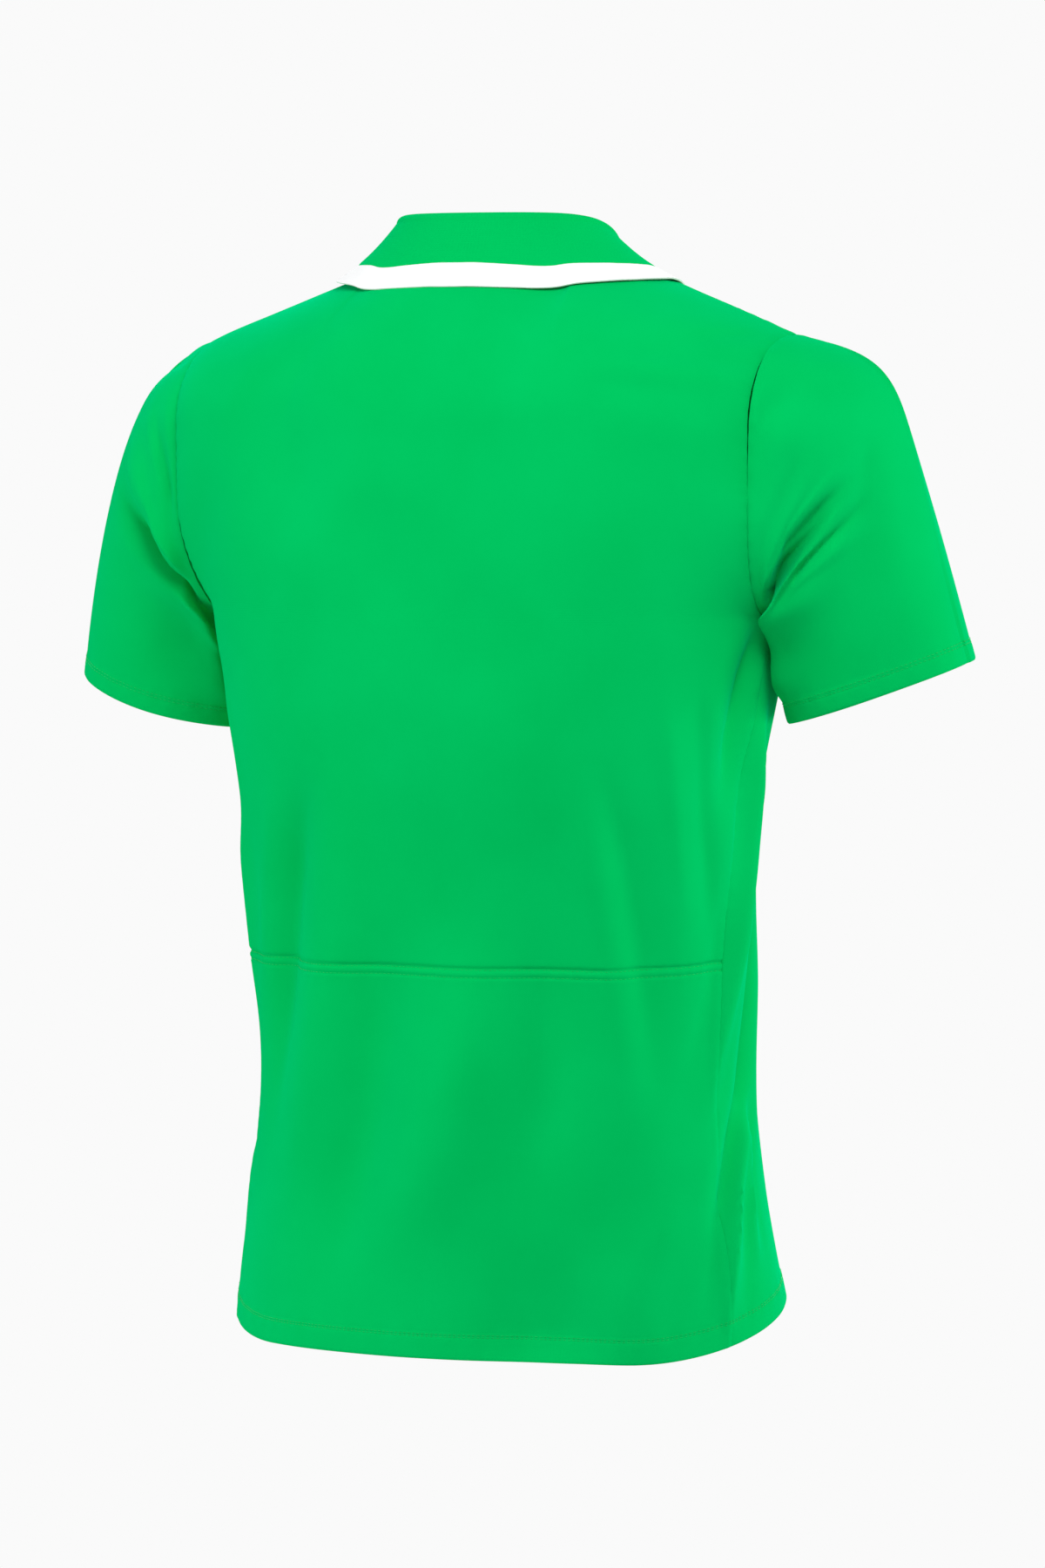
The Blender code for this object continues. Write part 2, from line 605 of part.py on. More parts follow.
def collar_grid(turn):
    """Rows of the collar's visible skin: up inside the stand, over the fold and down the leaf."""
    neck, fold, leaf = collar_rings(turn)
    out = unit(np.column_stack([(leaf - fold)[:, :2], np.zeros(len(turn))]))
    up = np.array((0.0, 0.0, 1.0))
    foot = neck - out * RIB_CLOTH + up * SEAM_GAP
    rows = []
    inside = fold - out * FOLD_RADIUS
    for f in np.linspace(0, 1, STAND_ROWS + 1)[:-1]:
        rows.append(foot + (inside - foot) * f)
    for a in np.linspace(0, pi, FOLD_ROWS + 1):
        rows.append(fold - out * FOLD_RADIUS * cos(a) + up * FOLD_RADIUS * sin(a))
    start = rows[-1]
    length = np.linalg.norm(leaf - start, axis=1)
    green = 1 - BORDER / length

    def leaf_row(reach):
        """Points part of the way down the leaf, lifted where the body would come through it."""
        row = start + (leaf - start) * reach[:, None] + (out + up) * LEAF_BOW * np.sin(pi * reach)[:, None]
        row[:, 2] = np.maximum(row[:, 2], resting_height(row[:, :2]) + LEAF_LIFT)
        return row

    rows += [leaf_row(green * f) for f in np.linspace(0, 1, LEAF_ROWS + 1)[1:]]
    border = [leaf_row(green + (1 - green) * f) for f in np.linspace(0, 1, 3)]
    return np.array(rows), np.array(border)


def make_collar():
    half = NECK_CELLS
    turn = np.linspace(-pi, pi, 2 * half + 1)
    turn[0], turn[-1] = -pi + COLLAR_OPENING, pi - COLLAR_OPENING
    rows, border = collar_grid(turn)
    whole = np.concatenate([rows, border[1:]])
    normals = normals_of(whole)
    middle = whole.shape[1] // 2
    sign = np.sign(normals[-1, middle, 1])
    normals *= sign
    cut = len(rows)
    leaf_skin = pull_in(whole[:cut], normals[:cut], ("top",), SEAM_GAP)
    edge = np.concatenate([whole[cut - 1 : cut], whole[cut:]])
    edge_normals = normals[cut - 1 :]
    edge = pull_in(edge, edge_normals, ("bottom",), SEAM_GAP)
    for name, grid, skin, colour in (
        ("collar", leaf_skin, normals[:cut], "green"),
        ("collar_border", edge, edge_normals, "white"),
    ):
        if sign < 0:
            grid, skin = grid[:, ::-1], skin[:, ::-1]
        wall(name, grid, skin, RIB_CLOTH, colour)


def front_strip(length, rows):
    """Points of the front's outer skin beside the centre line, from the strip's foot to the neckline."""
    steps = np.linspace(0, 1, 401)
    centre = upper_body(-1, 0.0, steps)
    climb = np.concatenate([[0], np.cumsum(np.linalg.norm(np.diff(centre, axis=0), axis=1))])
    from_top = climb[-1] - climb
    s = np.interp(np.linspace(length, PLACKET_TOP, rows + 1), from_top[::-1], steps[::-1])
    across = np.linspace(-NECK_SHARE, NECK_SHARE, 401)
    wanted = np.linspace(-PLACKET_HALF, PLACKET_HALF, PLACKET_CELLS + 1)
    strip = []
    for row_s in s:
        line = upper_body(-1, across, row_s)
        strip.append(np.stack([np.interp(wanted, line[:, 0], line[:, k]) for k in range(3)], axis=-1))
    grid = np.array(strip)
    return grid, normals_of(grid)


def make_placket():
    """The under ply lies behind the slit in the front and the over ply covers it."""
    lifts = {"placket_under": -CLOTH - PLACKET_GAP, "placket_over": SEAM_GAP + PLACKET_CLOTH}
    for name, lift in lifts.items():
        grid, normals = front_strip(PLACKET_LENGTH, PLACKET_ROWS)
        wall(name, grid + normals * lift, normals, PLACKET_CLOTH, "green")


def make_button(name, depth):
    """A four-hole button with a raised rim, lying on the placket at a depth below the neckline."""
    grid, normals = front_strip(depth, round(depth / BUTTON_RADIUS))
    point, normal = grid[0, PLACKET_CELLS // 2], normals[0, PLACKET_CELLS // 2]
    builder = bmesh.new()
    rings = []
    for radius, height in np.array(BUTTON_PROFILE[1:]) * (BUTTON_RADIUS, BUTTON_THICKNESS):
        angles = [2 * pi * k / BUTTON_SEGMENTS for k in range(BUTTON_SEGMENTS)]
        rings.append([builder.verts.new((radius * cos(a), radius * sin(a), height)) for a in angles])
    for low, high in zip(rings, rings[1:]):
        for k in range(BUTTON_SEGMENTS):
            n = (k + 1) % BUTTON_SEGMENTS
            builder.faces.new([low[k], low[n], high[n], high[k]])
    builder.faces.new(rings[0][::-1])
    builder.faces.new(rings[-1])
    mesh = bpy.data.meshes.new(name)
    builder.to_mesh(mesh)
    builder.free()
    turn = unit(np.cross((1.0, 0.0, 0.0), normal))
    side = np.cross(turn, normal)
    seat = point + normal * (SEAM_GAP + PLACKET_CLOTH + BUTTON_GAP)
    frame = Matrix([*np.column_stack([side, -turn, normal, seat]), (0, 0, 0, 1)])
    button = place(name, mesh, "button")
    button.matrix_world = frame
    add_holes(button, frame)


def add_holes(button, frame):
    """Four thread holes, cut through by small hidden pins."""
    for k in range(4):
        angle = pi / 4 + k * pi / 2
        builder = bmesh.new()
        where = Matrix.Translation((BUTTON_HOLE_PITCH * cos(angle), BUTTON_HOLE_PITCH * sin(angle), 0.001))
        bmesh.ops.create_cone(
            builder, cap_ends=True, segments=8, radius1=BUTTON_HOLE, radius2=BUTTON_HOLE, depth=0.01, matrix=where
        )
        mesh = bpy.data.meshes.new("pin")
        builder.to_mesh(mesh)
        builder.free()
        pin = bpy.data.objects.new("pin", mesh)
        bpy.context.scene.collection.objects.link(pin)
        pin.matrix_world = frame
        pin.hide_render = True
        pin.display_type = "WIRE"
        cut = button.modifiers.new("hole", "BOOLEAN")
        cut.operation = "DIFFERENCE"
        cut.object = pin


def main():
    for old in list(bpy.data.objects):
        bpy.data.objects.remove(old, do_unlink=True)
    make_back()
    make_front()
    for name in SLEEVES:
        make_sleeve(name)
    make_collar()
    make_placket()
    for number, depth in enumerate(BUTTON_DEPTHS, 1):
        make_button(f"button_{number}", depth)


main()
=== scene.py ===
"""The looks of a green short-sleeved polo shirt, worn and hollow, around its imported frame.

Each piece of cloth is a thin closed shell on the form of its solid, from the same rings, armholes and
collar curves, with finer rows and columns and with the smaller folds. Hems, seams and ribs are raised
in the shells. Sewing threads, buttonholes and button threads are meshes laid on them.
"""

from functools import cache
from math import cos, pi, radians, sin

import bpy
import numpy as np
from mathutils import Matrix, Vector
from mathutils.kdtree import KDTree


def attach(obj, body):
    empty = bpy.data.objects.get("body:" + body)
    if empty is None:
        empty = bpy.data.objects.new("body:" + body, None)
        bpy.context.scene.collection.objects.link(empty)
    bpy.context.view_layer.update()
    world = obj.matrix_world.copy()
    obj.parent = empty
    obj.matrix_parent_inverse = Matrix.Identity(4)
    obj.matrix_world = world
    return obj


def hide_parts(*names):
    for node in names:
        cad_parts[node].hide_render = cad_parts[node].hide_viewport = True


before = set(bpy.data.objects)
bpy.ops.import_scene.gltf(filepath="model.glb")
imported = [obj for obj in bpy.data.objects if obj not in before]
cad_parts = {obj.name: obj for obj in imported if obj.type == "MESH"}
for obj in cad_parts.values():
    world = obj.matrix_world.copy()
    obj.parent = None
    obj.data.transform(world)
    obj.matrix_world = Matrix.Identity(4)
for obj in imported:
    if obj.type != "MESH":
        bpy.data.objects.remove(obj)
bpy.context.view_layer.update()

# ---------------- form, as in the solids

# Thickness of the single cloth, of a turned hem and of the ribbed collar, thinner than in the solids.
CLOTH = 0.0009
HEM_CLOTH = 0.0018
RIB_CLOTH = 0.0016

HEM_Z = -0.719
BACK_SEAM_Z = -0.461
ARMPIT_Z = -0.235
LOWER_HEIGHT = ARMPIT_Z - HEM_Z
PANEL_HALF_ARC = 0.235
SKIN_STEP = 1e-3
ROUND_X = 2.15
ROUND_Y = 2.05
FRONT_LIFT = 0.036
LIFT_FROM = radians(40)
LIFT_OVER = radians(80)
LIFT_HEIGHT = 0.75

# One row for each level of the body. The seam angle is measured from the centre back.
BODY_RINGS = (
    ("height", "half_width", "half_depth", "centre_y", "side_seam_deg"),
    (-0.719, 0.1990, 0.1210, -0.018, 68.0),
    (-0.680, 0.1940, 0.1200, -0.017, 69.0),
    (-0.610, 0.1825, 0.1160, -0.014, 72.0),
    (-0.540, 0.1750, 0.1130, -0.009, 75.0),
    (-0.470, 0.1750, 0.1120, -0.007, 78.0),
    (-0.400, 0.1790, 0.1145, -0.002, 81.5),
    (-0.340, 0.1860, 0.1190, 0.003, 85.0),
    (-0.290, 0.1950, 0.1230, 0.005, 88.0),
    (-0.235, 0.2035, 0.1260, 0.005, 90.0),
    (-0.150, 0.2080, 0.1270, 0.003, 90.0),
    (-0.080, 0.2080, 0.1220, 0.000, 90.0),
    (0.010, 0.2080, 0.1140, -0.004, 90.0),
)
ARMHOLE = (
    ("share_of_height", "back_x", "front_x"),
    (0.00, 0.2035, 0.2035),
    (0.25, 0.2065, 0.1975),
    (0.60, 0.2075, 0.1930),
    (0.85, 0.2090, 0.2010),
    (1.00, 0.2110, 0.2110),
)
ARMHOLE_HALF_DEPTH = {1: 0.056, -1: 0.060}
ARMHOLE_SCOOP = 0.36
NECK_X = 0.074
NECK_Y = -0.014
TIP_X = 0.211
TIP_Y = -0.014
TIP_Z = -0.048
SHOULDER_BOW = 1.2
NECK_REACH = {1: 0.060, -1: 0.066}
NECK_RISE = {1: 0.004, -1: -0.072}
NECK_DROP = 2.1
NECK_SHARE = 0.5
ROUND_HEIGHT = {1: (0.110, 0.100, 0.060), -1: (0.075, 0.105, 0.070)}
ROUND_DEPTH = (0.115, 0.060)
ROUND_DEPTH_X = (0.10, 0.21)
ROUND_ARC = 1.1
NECK_TURN = {1: radians(55), -1: radians(52)}

SLEEVES = {
    "sleeve_left": {"cuff": (0.266, -0.034, -0.2925), "down": (0.290, -0.150, -0.945), "cap": 0.62},
    "sleeve_right": {"cuff": (0.263, -0.031, -0.2815), "down": (0.304, -0.155, -0.940), "cap": 0.94},
}
CUFF_HALF_WIDTH = 0.067
CUFF_HALF_DEPTH = 0.050
SLEEVE_TAPER = 0.09
SLEEVE_LEAVES = (
    ("place", "leave_x", "leave_y", "leave_z", "leave_reach", "arrive_reach"),
    (0.00, 0.97, 0.00, -0.24, 0.100, 0.200),
    (0.25, 0.93, -0.06, -0.34, 0.050, 0.110),
    (0.50, 0.92, -0.03, 0.22, 0.020, 0.034),
    (0.75, 0.93, -0.05, -0.34, 0.050, 0.110),
    (1.00, 0.97, 0.00, -0.24, 0.100, 0.200),
)

FOLD_X = 0.0735
FOLD_BACK = 0.060
FOLD_FRONT = 0.058
FOLD_Y = -0.014
FOLD_Z = {1: 0.0280, -1: -0.036}
FOLD_DROP = 2.9
FOLD_RADIUS = 0.0045
LEAF_MARGIN = {"back": 0.030, "side": 0.047, "front": 0.029}
LEAF_LIFT = 0.0026
LEAF_BOW = -0.0015
COLLAR_OPENING = radians(3.0)
LEAF_OPENING = radians(24.0)
LEAF_OPENS_FROM = radians(95)
LEAF_OPENS_OVER = radians(80)
BORDER = 0.0165
BORDER_BACK_RISE = 0.0035
BORDER_BACK_WIDTH = 1.3

PLACKET_HALF = 0.016
PLACKET_LENGTH = 0.150
PLACKET_TOP = 0.001
PLACKET_CLOTH = 0.0012
PLACKET_GAP = 0.0007
SLIT_LENGTH = 0.128
SLIT_CELLS = 2
SEAM_GAP = 0.0003

# ---------------- folds, seams and hems

# Charts in which folds are placed: the body's is the angle from the centre back, positive to the
# wearer's left, and the height. Above the armpits the height runs on along the cloth to the shoulder.
CHART_ARC = 0.155
FLAT_STRETCH = 1.15
UPPER_RUN = 0.25
SLEEVE_ARC = 0.37
SLEEVE_RUN = 0.22

# Soft folds of the body: three points that each runs through, in degrees and millimetres, its half width
# and its rise over the plain cloth in millimetres, and how peaked it is: 2 is a round swell, 1.2 a crease.
BODY_FOLDS = (
    ("deg_1", "z_1", "deg_2", "z_2", "deg_3", "z_3", "half_width", "rise", "peak"),
    (24, -330, 41, -445, 52, -610, 13, -8.5, 2),
    (15, -310, 23, -464, 49, -637, 22, 6.5, 2),
    (62, -335, 69, -435, 68, -540, 12, 4.5, 1.8),
    (9, -410, 15, -560, 30, -740, 18, -7, 2),
    (-9, -420, -5, -563, 12, -675, 20, 6, 2),
    (-21, -420, -25, -528, -18, -620, 18, -4.5, 2),
    (-31, -300, -42, -453, -52, -620, 15, 3.4, 2),
    (-37, -310, -48, -425, -56, -590, 11, -3, 2),
    (-52, -265, -59, -356, -66, -470, 9, 1.8, 1.9),
    (-61, -250, -70, -369, -76, -500, 10, -3.4, 1.9),
    (-86, -226, -80, -294, -77, -385, 12, -10, 1.8),
    (-88, -280, -89, -406, -62, -615, 8.5, 8.5, 1.7),
    (-102, -390, -95, -509, -84, -600, 10, -9.5, 1.7),
    (-92, -530, -78, -590, -66, -650, 8, -5, 1.8),
    (-102, -530, -78, -611, -66, -730, 6, 8, 1.6),
    (-95, -550, -86, -600, -83, -670, 5.2, 6, 1.6),
    (-17, -622, -18, -800, -20, -1050, 26, -13, 2),
    (-22, -630, -34, -780, -45, -1020, 19, -7, 2),
    (-60, -600, -48, -653, -38, -710, 15, 3.2, 2),
    (66, -252, 72, -320, 70, -395, 12, -9, 1.7),
    (88, -320, 92, -430, 86, -550, 12, 5.5, 1.8),
    (99, -520, 85, -585, 73, -660, 8, 4.5, 1.6),
    (-54, -84, -78, -56, -100, -30, 11, -3.4, 1.9),
    (-44, -112, -74, -86, -99, -50, 12, -3.6, 1.9),
    (-50, -98, -76, -71, -99, -40, 10, 2.4, 1.9),
    (-68, -64, -80, -32, -88, -4, 7, -2, 1.8),
    (70, -105, 38, -140, 16, -166, 30, -3.6, 2),
    (17, -136, 6, -191, 0, -275, 24, -3.2, 2),
    (-19, -190, -13, -243, -15, -300, 15, -2.6, 2),
    (-128, -215, -146, -165, -160, -110, 11, -5, 1.7),
    (-118, -250, -136, -235, -154, -200, 10, -4.2, 1.7),
    (-121, -232, -141, -200, -158, -152, 10, 3.4, 1.9),
    (126, -210, 143, -158, 157, -105, 11, -4.8, 1.7),
    (117, -255, 134, -232, 150, -190, 10, -4.4, 1.7),
    (120, -236, 139, -196, 154, -146, 10, 3.4, 1.9),
    (-148, -310, -143, -450, -150, -620, 20, -7.5, 2),
    (-158, -300, -157, -440, -163, -600, 17, 5.5, 2),
    (150, -300, 144, -440, 138, -610, 20, -7.2, 2),
    (161, -330, 157, -450, 154, -600, 16, 5, 2),
    (172, -400, 178, -520, 190, -660, 20, -5.2, 2),
    (-118, -420, -126, -520, -121, -650, 12, 4.8, 1.8),
    (116, -430, 123, -530, 118, -655, 12, 4.8, 1.8),
    (162, -550, 150, -610, 130, -670, 12, 4.5, 1.8),
)

# Folds of each sleeve, by place round the armhole (0 shoulder, 25 back, 50 armpit, 75 front) and share of
# the way from the armhole to the cuff, both in hundredths.
SLEEVE_FOLDS = {
    "sleeve_left": (
        ("place_1", "share_1", "place_2", "share_2", "place_3", "share_3", "half_width", "rise", "peak"),
        (43, 14, 31, 44, 10, 60, 6.6, -13, 1.35),
        (40, 3, 27, 32, 9, 50, 8.5, 5.6, 2),
        (35, -4, 25, 12, 13, 23, 8.5, -5, 1.8),
        (42, 30, 33, 56, 20, 69, 9, 4, 2),
        (42, 58, 33, 76, 22, 90, 13, -3.2, 2),
        (43, 36, 40, 74, 39, 120, 15, 7.5, 2),
        (57, 12, 68, 46, 88, 60, 6.5, -10, 1.4),
        (60, 6, 72, 36, 88, 48, 9, 6, 2),
        (62, 40, 72, 64, 86, 76, 6.5, -4.5, 1.7),
        (10, 5, 3, 26, -4, 43, 9, -2.2, 1.8),
    ),
    "sleeve_right": (
        ("place_1", "share_1", "place_2", "share_2", "place_3", "share_3", "half_width", "rise", "peak"),
        (44, 8, 33.5, 43, 9, 62, 6, -11.5, 1.35),
        (30, 57.5, 20, 62.8, 10, 66, 3.8, -5.2, 1.5),
        (31, 38, 22.5, 50, 11, 57.5, 3.8, -5.2, 1.5),
        (36, 48, 25, 58.5, 12, 64, 3.2, 3, 1.6),
        (40, 10, 29, 33, 13, 46, 8.5, 2.6, 2),
        (42, 34, 32, 64, 17, 76, 10, 4.8, 2),
        (17, 4, 12, 24, 7, 42, 9, -2.6, 1.8),
        (45, 46, 38, 70, 28, 88, 12, -2.6, 2),
        (43, 36, 40, 74, 39, 120, 15, 7.5, 2),
        (19, 2, 14, 11, 8, 18, 11, -2, 2),
        (8, 50, 15, 72, 20, 90, 10, -2.4, 2),
        (56, 10, 67, 44, 89, 61, 6, -9.5, 1.4),
        (60, 5, 71, 34, 87, 50, 9, 5.5, 2),
        (63, 44, 74, 62, 88, 74, 6.5, -4.5, 1.7),
    ),
}
FOLD_POINTS = 25

# Across a fold, in its half widths: how far it is felt, its width at its start and what that grows by
# along it, and the place, width and share of its height of the opposite swell on each side.
FOLD_REACH = 5
FOLD_WIDENS = (0.8, 0.5)
BESIDE_AT = 2.4
BESIDE_WIDTH = 0.9
BESIDE_SHARE = 0.22

# Shares of its length in which a fold fades: at its end, and at its start on the body and on a sleeve.
FOLD_ENDS = 0.42
SOFT_START = 0.36
CREASE_START = 0.18

# No fold stands out where a sleeve and the body face each other, or right at the armpit.
INNER_PLACE = 0.055
UNDER_ARM = 0.05
CUFF_LEVEL = -0.3
CUFF_LEVEL_FADE = 0.03
ARMPIT_CLEAR = 0.03

# Where folds, swells and seams fade near the edges of a piece: in shares of the panel at its top, at the
# armpits and where the shoulder seam starts, and otherwise in metres.
TOP_FADE = 0.12
ARMPIT_SHARE = 0.03
SHOULDER_START = (0.03, 0.06)
HEM_FADE = 0.05
ARMHOLE_FADE = {"folds": 0.012, "drift": 0.03, "side": 0.01}
CUFF_FADE = (0.002, 0.03)

# Waves of the low swells all over the cloth: radians to the metre across and up, phase and rise.
DRIFT_WAVES = (
    ("across", "up", "phase", "rise"),
    (31.0, 9.0, 0.4, 0.00110),
    (-17.0, 24.0, 1.9, 0.00095),
    (43.0, -21.0, 3.1, 0.00060),
    (66.0, 38.0, 5.2, 0.00028),
)

# On the sleeves they lie closer by this factor, and start elsewhere.
SLEEVE_DRIFT = 1.3
SLEEVE_DRIFT_FROM = 0.7

# A seam is a fine valley with the pressed seam allowance as a low swell beside it.
SEAM_DEPTH = {"armhole": 0.00018, "side": 0.00025, "shoulder": 0.00045, "back": 0.00085}
SEAM_WIDTH = 0.0013
ALLOWANCE_RISE = 0.00035
ALLOWANCE_AT = 0.0050
ALLOWANCE_WIDTH = 0.0032
SEAM_PUCKER = 0.00022

# The puckers of each kind of seam: radians to the metre, and the size and radians to the metre of the
# wave that makes them uneven.
PUCKER_WAVES = {"seam": (620, 2.2, 97), "hem": (410, 1.7, 61), "back": (480, 2, 71)}
PUCKER_REACH = 0.006

HEM_LINES = (0.0150, 0.0165)
CUFF_LINES = (0.0120, 0.0142)
HEM_RISE = 0.0006
HEM_HOLD = 0.026
HEM_STEP = 0.0016
HEM_ROLL = 0.0007
HEM_ROLL_WIDTH = 0.0008
EDGE_THINS = 0.55
EDGE_THINS_OVER = 0.0007
STITCH_SINK = 0.00035
STITCH_SINK_WIDTH = 0.0011
BACK_SEAM_LINES = (0.0012, 0.0062)

# The raised band below the cross seam: its rise, and where it starts and ends, each with its slope's run.
BACK_SEAM_RISE = 0.00012
BACK_SEAM_BAND = ((0.0002, 0.0016), (0.0072, 0.003))
BACK_SEAM_MIDDLE = 0.004
BACK_SEAM_SINK = 0.0007

# The cloth is drawn out a little along the armholes, where the sleeves pull at it.
ARMHOLE_LIFT = 0.005
ARMHOLE_LIFT_WIDTH = 0.03
ARMHOLE_LIFT_ENDS = 0.35


def read_table(table, at):
    """Each named column of a table at the places given, on a smooth curve through its rows."""
    names, rows = table[0], np.array(table[1:])
    knots, values = rows[:, 0], rows[:, 1:]
    slopes = np.gradient(values, knots, axis=0)
    at = np.clip(at, knots[0], knots[-1])
    row = np.clip(np.searchsorted(knots, at) - 1, 0, len(knots) - 2)
    step = (knots[row + 1] - knots[row])[..., None]
    f = (at - knots[row])[..., None] / step
    leaving = (1 + 2 * f) * (1 - f) ** 2 * values[row] + f * (1 - f) ** 2 * step * slopes[row]
    arriving = f * f * (3 - 2 * f) * values[row + 1] - f * f * (1 - f) * step * slopes[row + 1]
    return dict(zip(names[1:], np.moveaxis(leaving + arriving, -1, 0)))


def ease(x):
    """0 to 1 with level ends."""
    x = np.clip(x, 0.0, 1.0)
    return x * x * (3 - 2 * x)


def unit(vectors):
    return vectors / np.maximum(np.linalg.norm(vectors, axis=-1, keepdims=True), 1e-12)


def swell(distance, width):
    return np.exp(-((distance / width) ** 2))


def travelled(points):
    """Distance along lines of points that run down the first axis."""
    steps = np.linalg.norm(np.diff(points, axis=0), axis=-1)
    return np.concatenate([np.zeros((1, *steps.shape[1:])), np.cumsum(steps, axis=0)])


def paired(a, b):
    return np.stack(np.broadcast_arrays(a, b), axis=-1)


def wrapped(angle):
    """The same angle from the centre back, between minus half a turn and half a turn."""
    return np.where(angle > pi, angle - 2 * pi, angle)


# ---------------- relief


def fold_height(a, b, points, half_width, peak, start_over):
    """Height, up to 1, of a fold that runs through three points of a chart, with low swells beside it."""
    start, middle, end = points
    control = 2 * middle - (start + end) / 2
    t = np.linspace(0, 1, FOLD_POINTS)[:, None]
    path = (1 - t) ** 2 * start + 2 * t * (1 - t) * control + t * t * end
    reach = FOLD_REACH * half_width
    low, high = path.min(axis=0) - reach, path.max(axis=0) + reach
    near = (a > low[0]) & (a < high[0]) & (b > low[1]) & (b < high[1])
    height = np.zeros(a.shape)
    if not near.any():
        return height
    x, y = a[near], b[near]
    nearest, share = np.full(x.shape, np.inf), np.zeros(x.shape)
    for k, (here, there) in enumerate(zip(path, path[1:])):
        run = there - here
        f = np.clip(((x - here[0]) * run[0] + (y - here[1]) * run[1]) / (run @ run), 0, 1)
        away = np.hypot(x - here[0] - f * run[0], y - here[1] - f * run[1])
        closer = away < nearest
        nearest = np.where(closer, away, nearest)
        share = np.where(closer, (k + f) / (FOLD_POINTS - 1), share)
    across = nearest / (half_width * (FOLD_WIDENS[0] + FOLD_WIDENS[1] * share))
    profile = np.exp(-(across**peak)) - BESIDE_SHARE * swell(across - BESIDE_AT, BESIDE_WIDTH)
    height[near] = profile * ease(share / start_over) * ease((1 - share) / FOLD_ENDS)
    return height


def fold_rows(table):
    """The three points, half width, rise and peak of each fold, with the two lengths in metres."""
    for row in table[1:]:
        yield np.array(row[:6]).reshape(3, 2), row[6] / 1000, row[7] / 1000, row[8]


def body_relief(angle, height):
    """Rise of the cloth of the body at an angle from the centre back, in radians, and a chart height."""
    angle, height = np.broadcast_arrays(angle, height)
    relief = np.zeros(angle.shape)
    for points, half_width, rise, peak in fold_rows(BODY_FOLDS):
        for turn in (-360, 0, 360):
            chart = np.column_stack([np.radians(points[:, 0] + turn) * CHART_ARC, points[:, 1] / 1000])
            relief += rise * fold_height(angle * CHART_ARC, height, chart, half_width, peak, SOFT_START)
    from_side = (np.abs(angle) - pi / 2) * CHART_ARC
    under_arm = swell(from_side, UNDER_ARM) * ease((height - CUFF_LEVEL) / CUFF_LEVEL_FADE)
    relief -= np.maximum(relief, 0) * under_arm
    from_armpit = np.hypot(from_side, height - ARMPIT_Z)
    return relief * ease(from_armpit / ARMPIT_CLEAR) + drift(angle * CHART_ARC, height)


def drift(a, b):
    """Very low uneven swells, so that no stretch of cloth is a perfect surface."""
    height = 0.0
    for across, up, phase, rise in DRIFT_WAVES[1:]:
        height = height + rise * np.sin(across * a + up * b + phase)
    return height


def puckers(kind, along):
    often, size, slow = PUCKER_WAVES[kind]
    return SEAM_PUCKER * np.sin(along * often + size * np.sin(along * slow))


def seam_relief(distance, along, kind, allowance=True):
    """The valley of a seam, at a distance from it, with the swell of its allowance and small puckers."""
    pucker = puckers("seam", along) * swell(distance, ALLOWANCE_AT)
    raised = ALLOWANCE_RISE * swell(distance - ALLOWANCE_AT, ALLOWANCE_WIDTH) if allowance else 0
    return raised + pucker - SEAM_DEPTH[kind] * swell(distance, SEAM_WIDTH)


def hem_relief(distance, lines, along):
    """A turned hem: raised up to its stitching, sunk under each line of thread, and rolled at its edge."""
    sunk = sum(STITCH_SINK * swell(distance - line, STITCH_SINK_WIDTH) for line in lines)
    raised = HEM_RISE * (1 - ease((distance - lines[-1]) / HEM_STEP))
    pucker = puckers("hem", along) * swell(distance - lines[0], PUCKER_REACH)
    return raised - sunk + pucker - HEM_ROLL * swell(distance, HEM_ROLL_WIDTH)


# ---------------- body


def superellipse(angle, half_width, half_depth):
    across, back = np.sin(angle), np.cos(angle)
    x = half_width * np.sign(across) * np.abs(across) ** (2 / ROUND_X)
    y = half_depth * np.sign(back) * np.abs(back) ** (2 / ROUND_Y)
    return x, y


def lower_body(side, u, v):
    """Plain body below the armpits. u runs from -1 at the right side seam to 1, v from 0 at the hem to 1."""
    u, v = np.broadcast_arrays(u, v)
    angle = lower_angle(side, u, v)
    level = HEM_Z + LOWER_HEIGHT * v
    lift = FRONT_LIFT * ease((np.abs(angle) - LIFT_FROM) / LIFT_OVER)
    z = level + lift * (1 - ease(v / LIFT_HEIGHT))
    ring = read_table(BODY_RINGS, z)
    x, y = superellipse(angle, ring["half_width"], ring["half_depth"])
    return np.stack([x, y + ring["centre_y"], z], axis=-1)


def lower_angle(side, u, v):
    seam = np.radians(read_table(BODY_RINGS, HEM_Z + LOWER_HEIGHT * v)["side_seam_deg"])
    return wrapped(u * seam if side > 0 else pi - u * (pi - seam))


def column_top(side, u):
    """Top edge of each column: neckline near the middle, shoulder line outside it."""
    turn = np.clip(np.abs(u) / NECK_SHARE, 0, 1) * pi / 2
    outward = np.clip((np.abs(u) - NECK_SHARE) / (1 - NECK_SHARE), 0, 1)
    x = np.sign(u) * (NECK_X * np.sin(turn) + (TIP_X - NECK_X) * outward)
    y = NECK_Y + side * NECK_REACH[side] * np.cos(turn) + (TIP_Y - NECK_Y) * outward
    z = NECK_RISE[side] * np.cos(turn) ** NECK_DROP + TIP_Z * outward**SHOULDER_BOW
    middle, neck, tip = ROUND_HEIGHT[side]
    height = np.where(outward > 0, neck + (tip - neck) * outward, neck + (middle - neck) * np.cos(turn))
    bend = pi / 2 - (pi / 2 - NECK_TURN[side]) * np.cos(turn)
    return x, y, z, height, bend


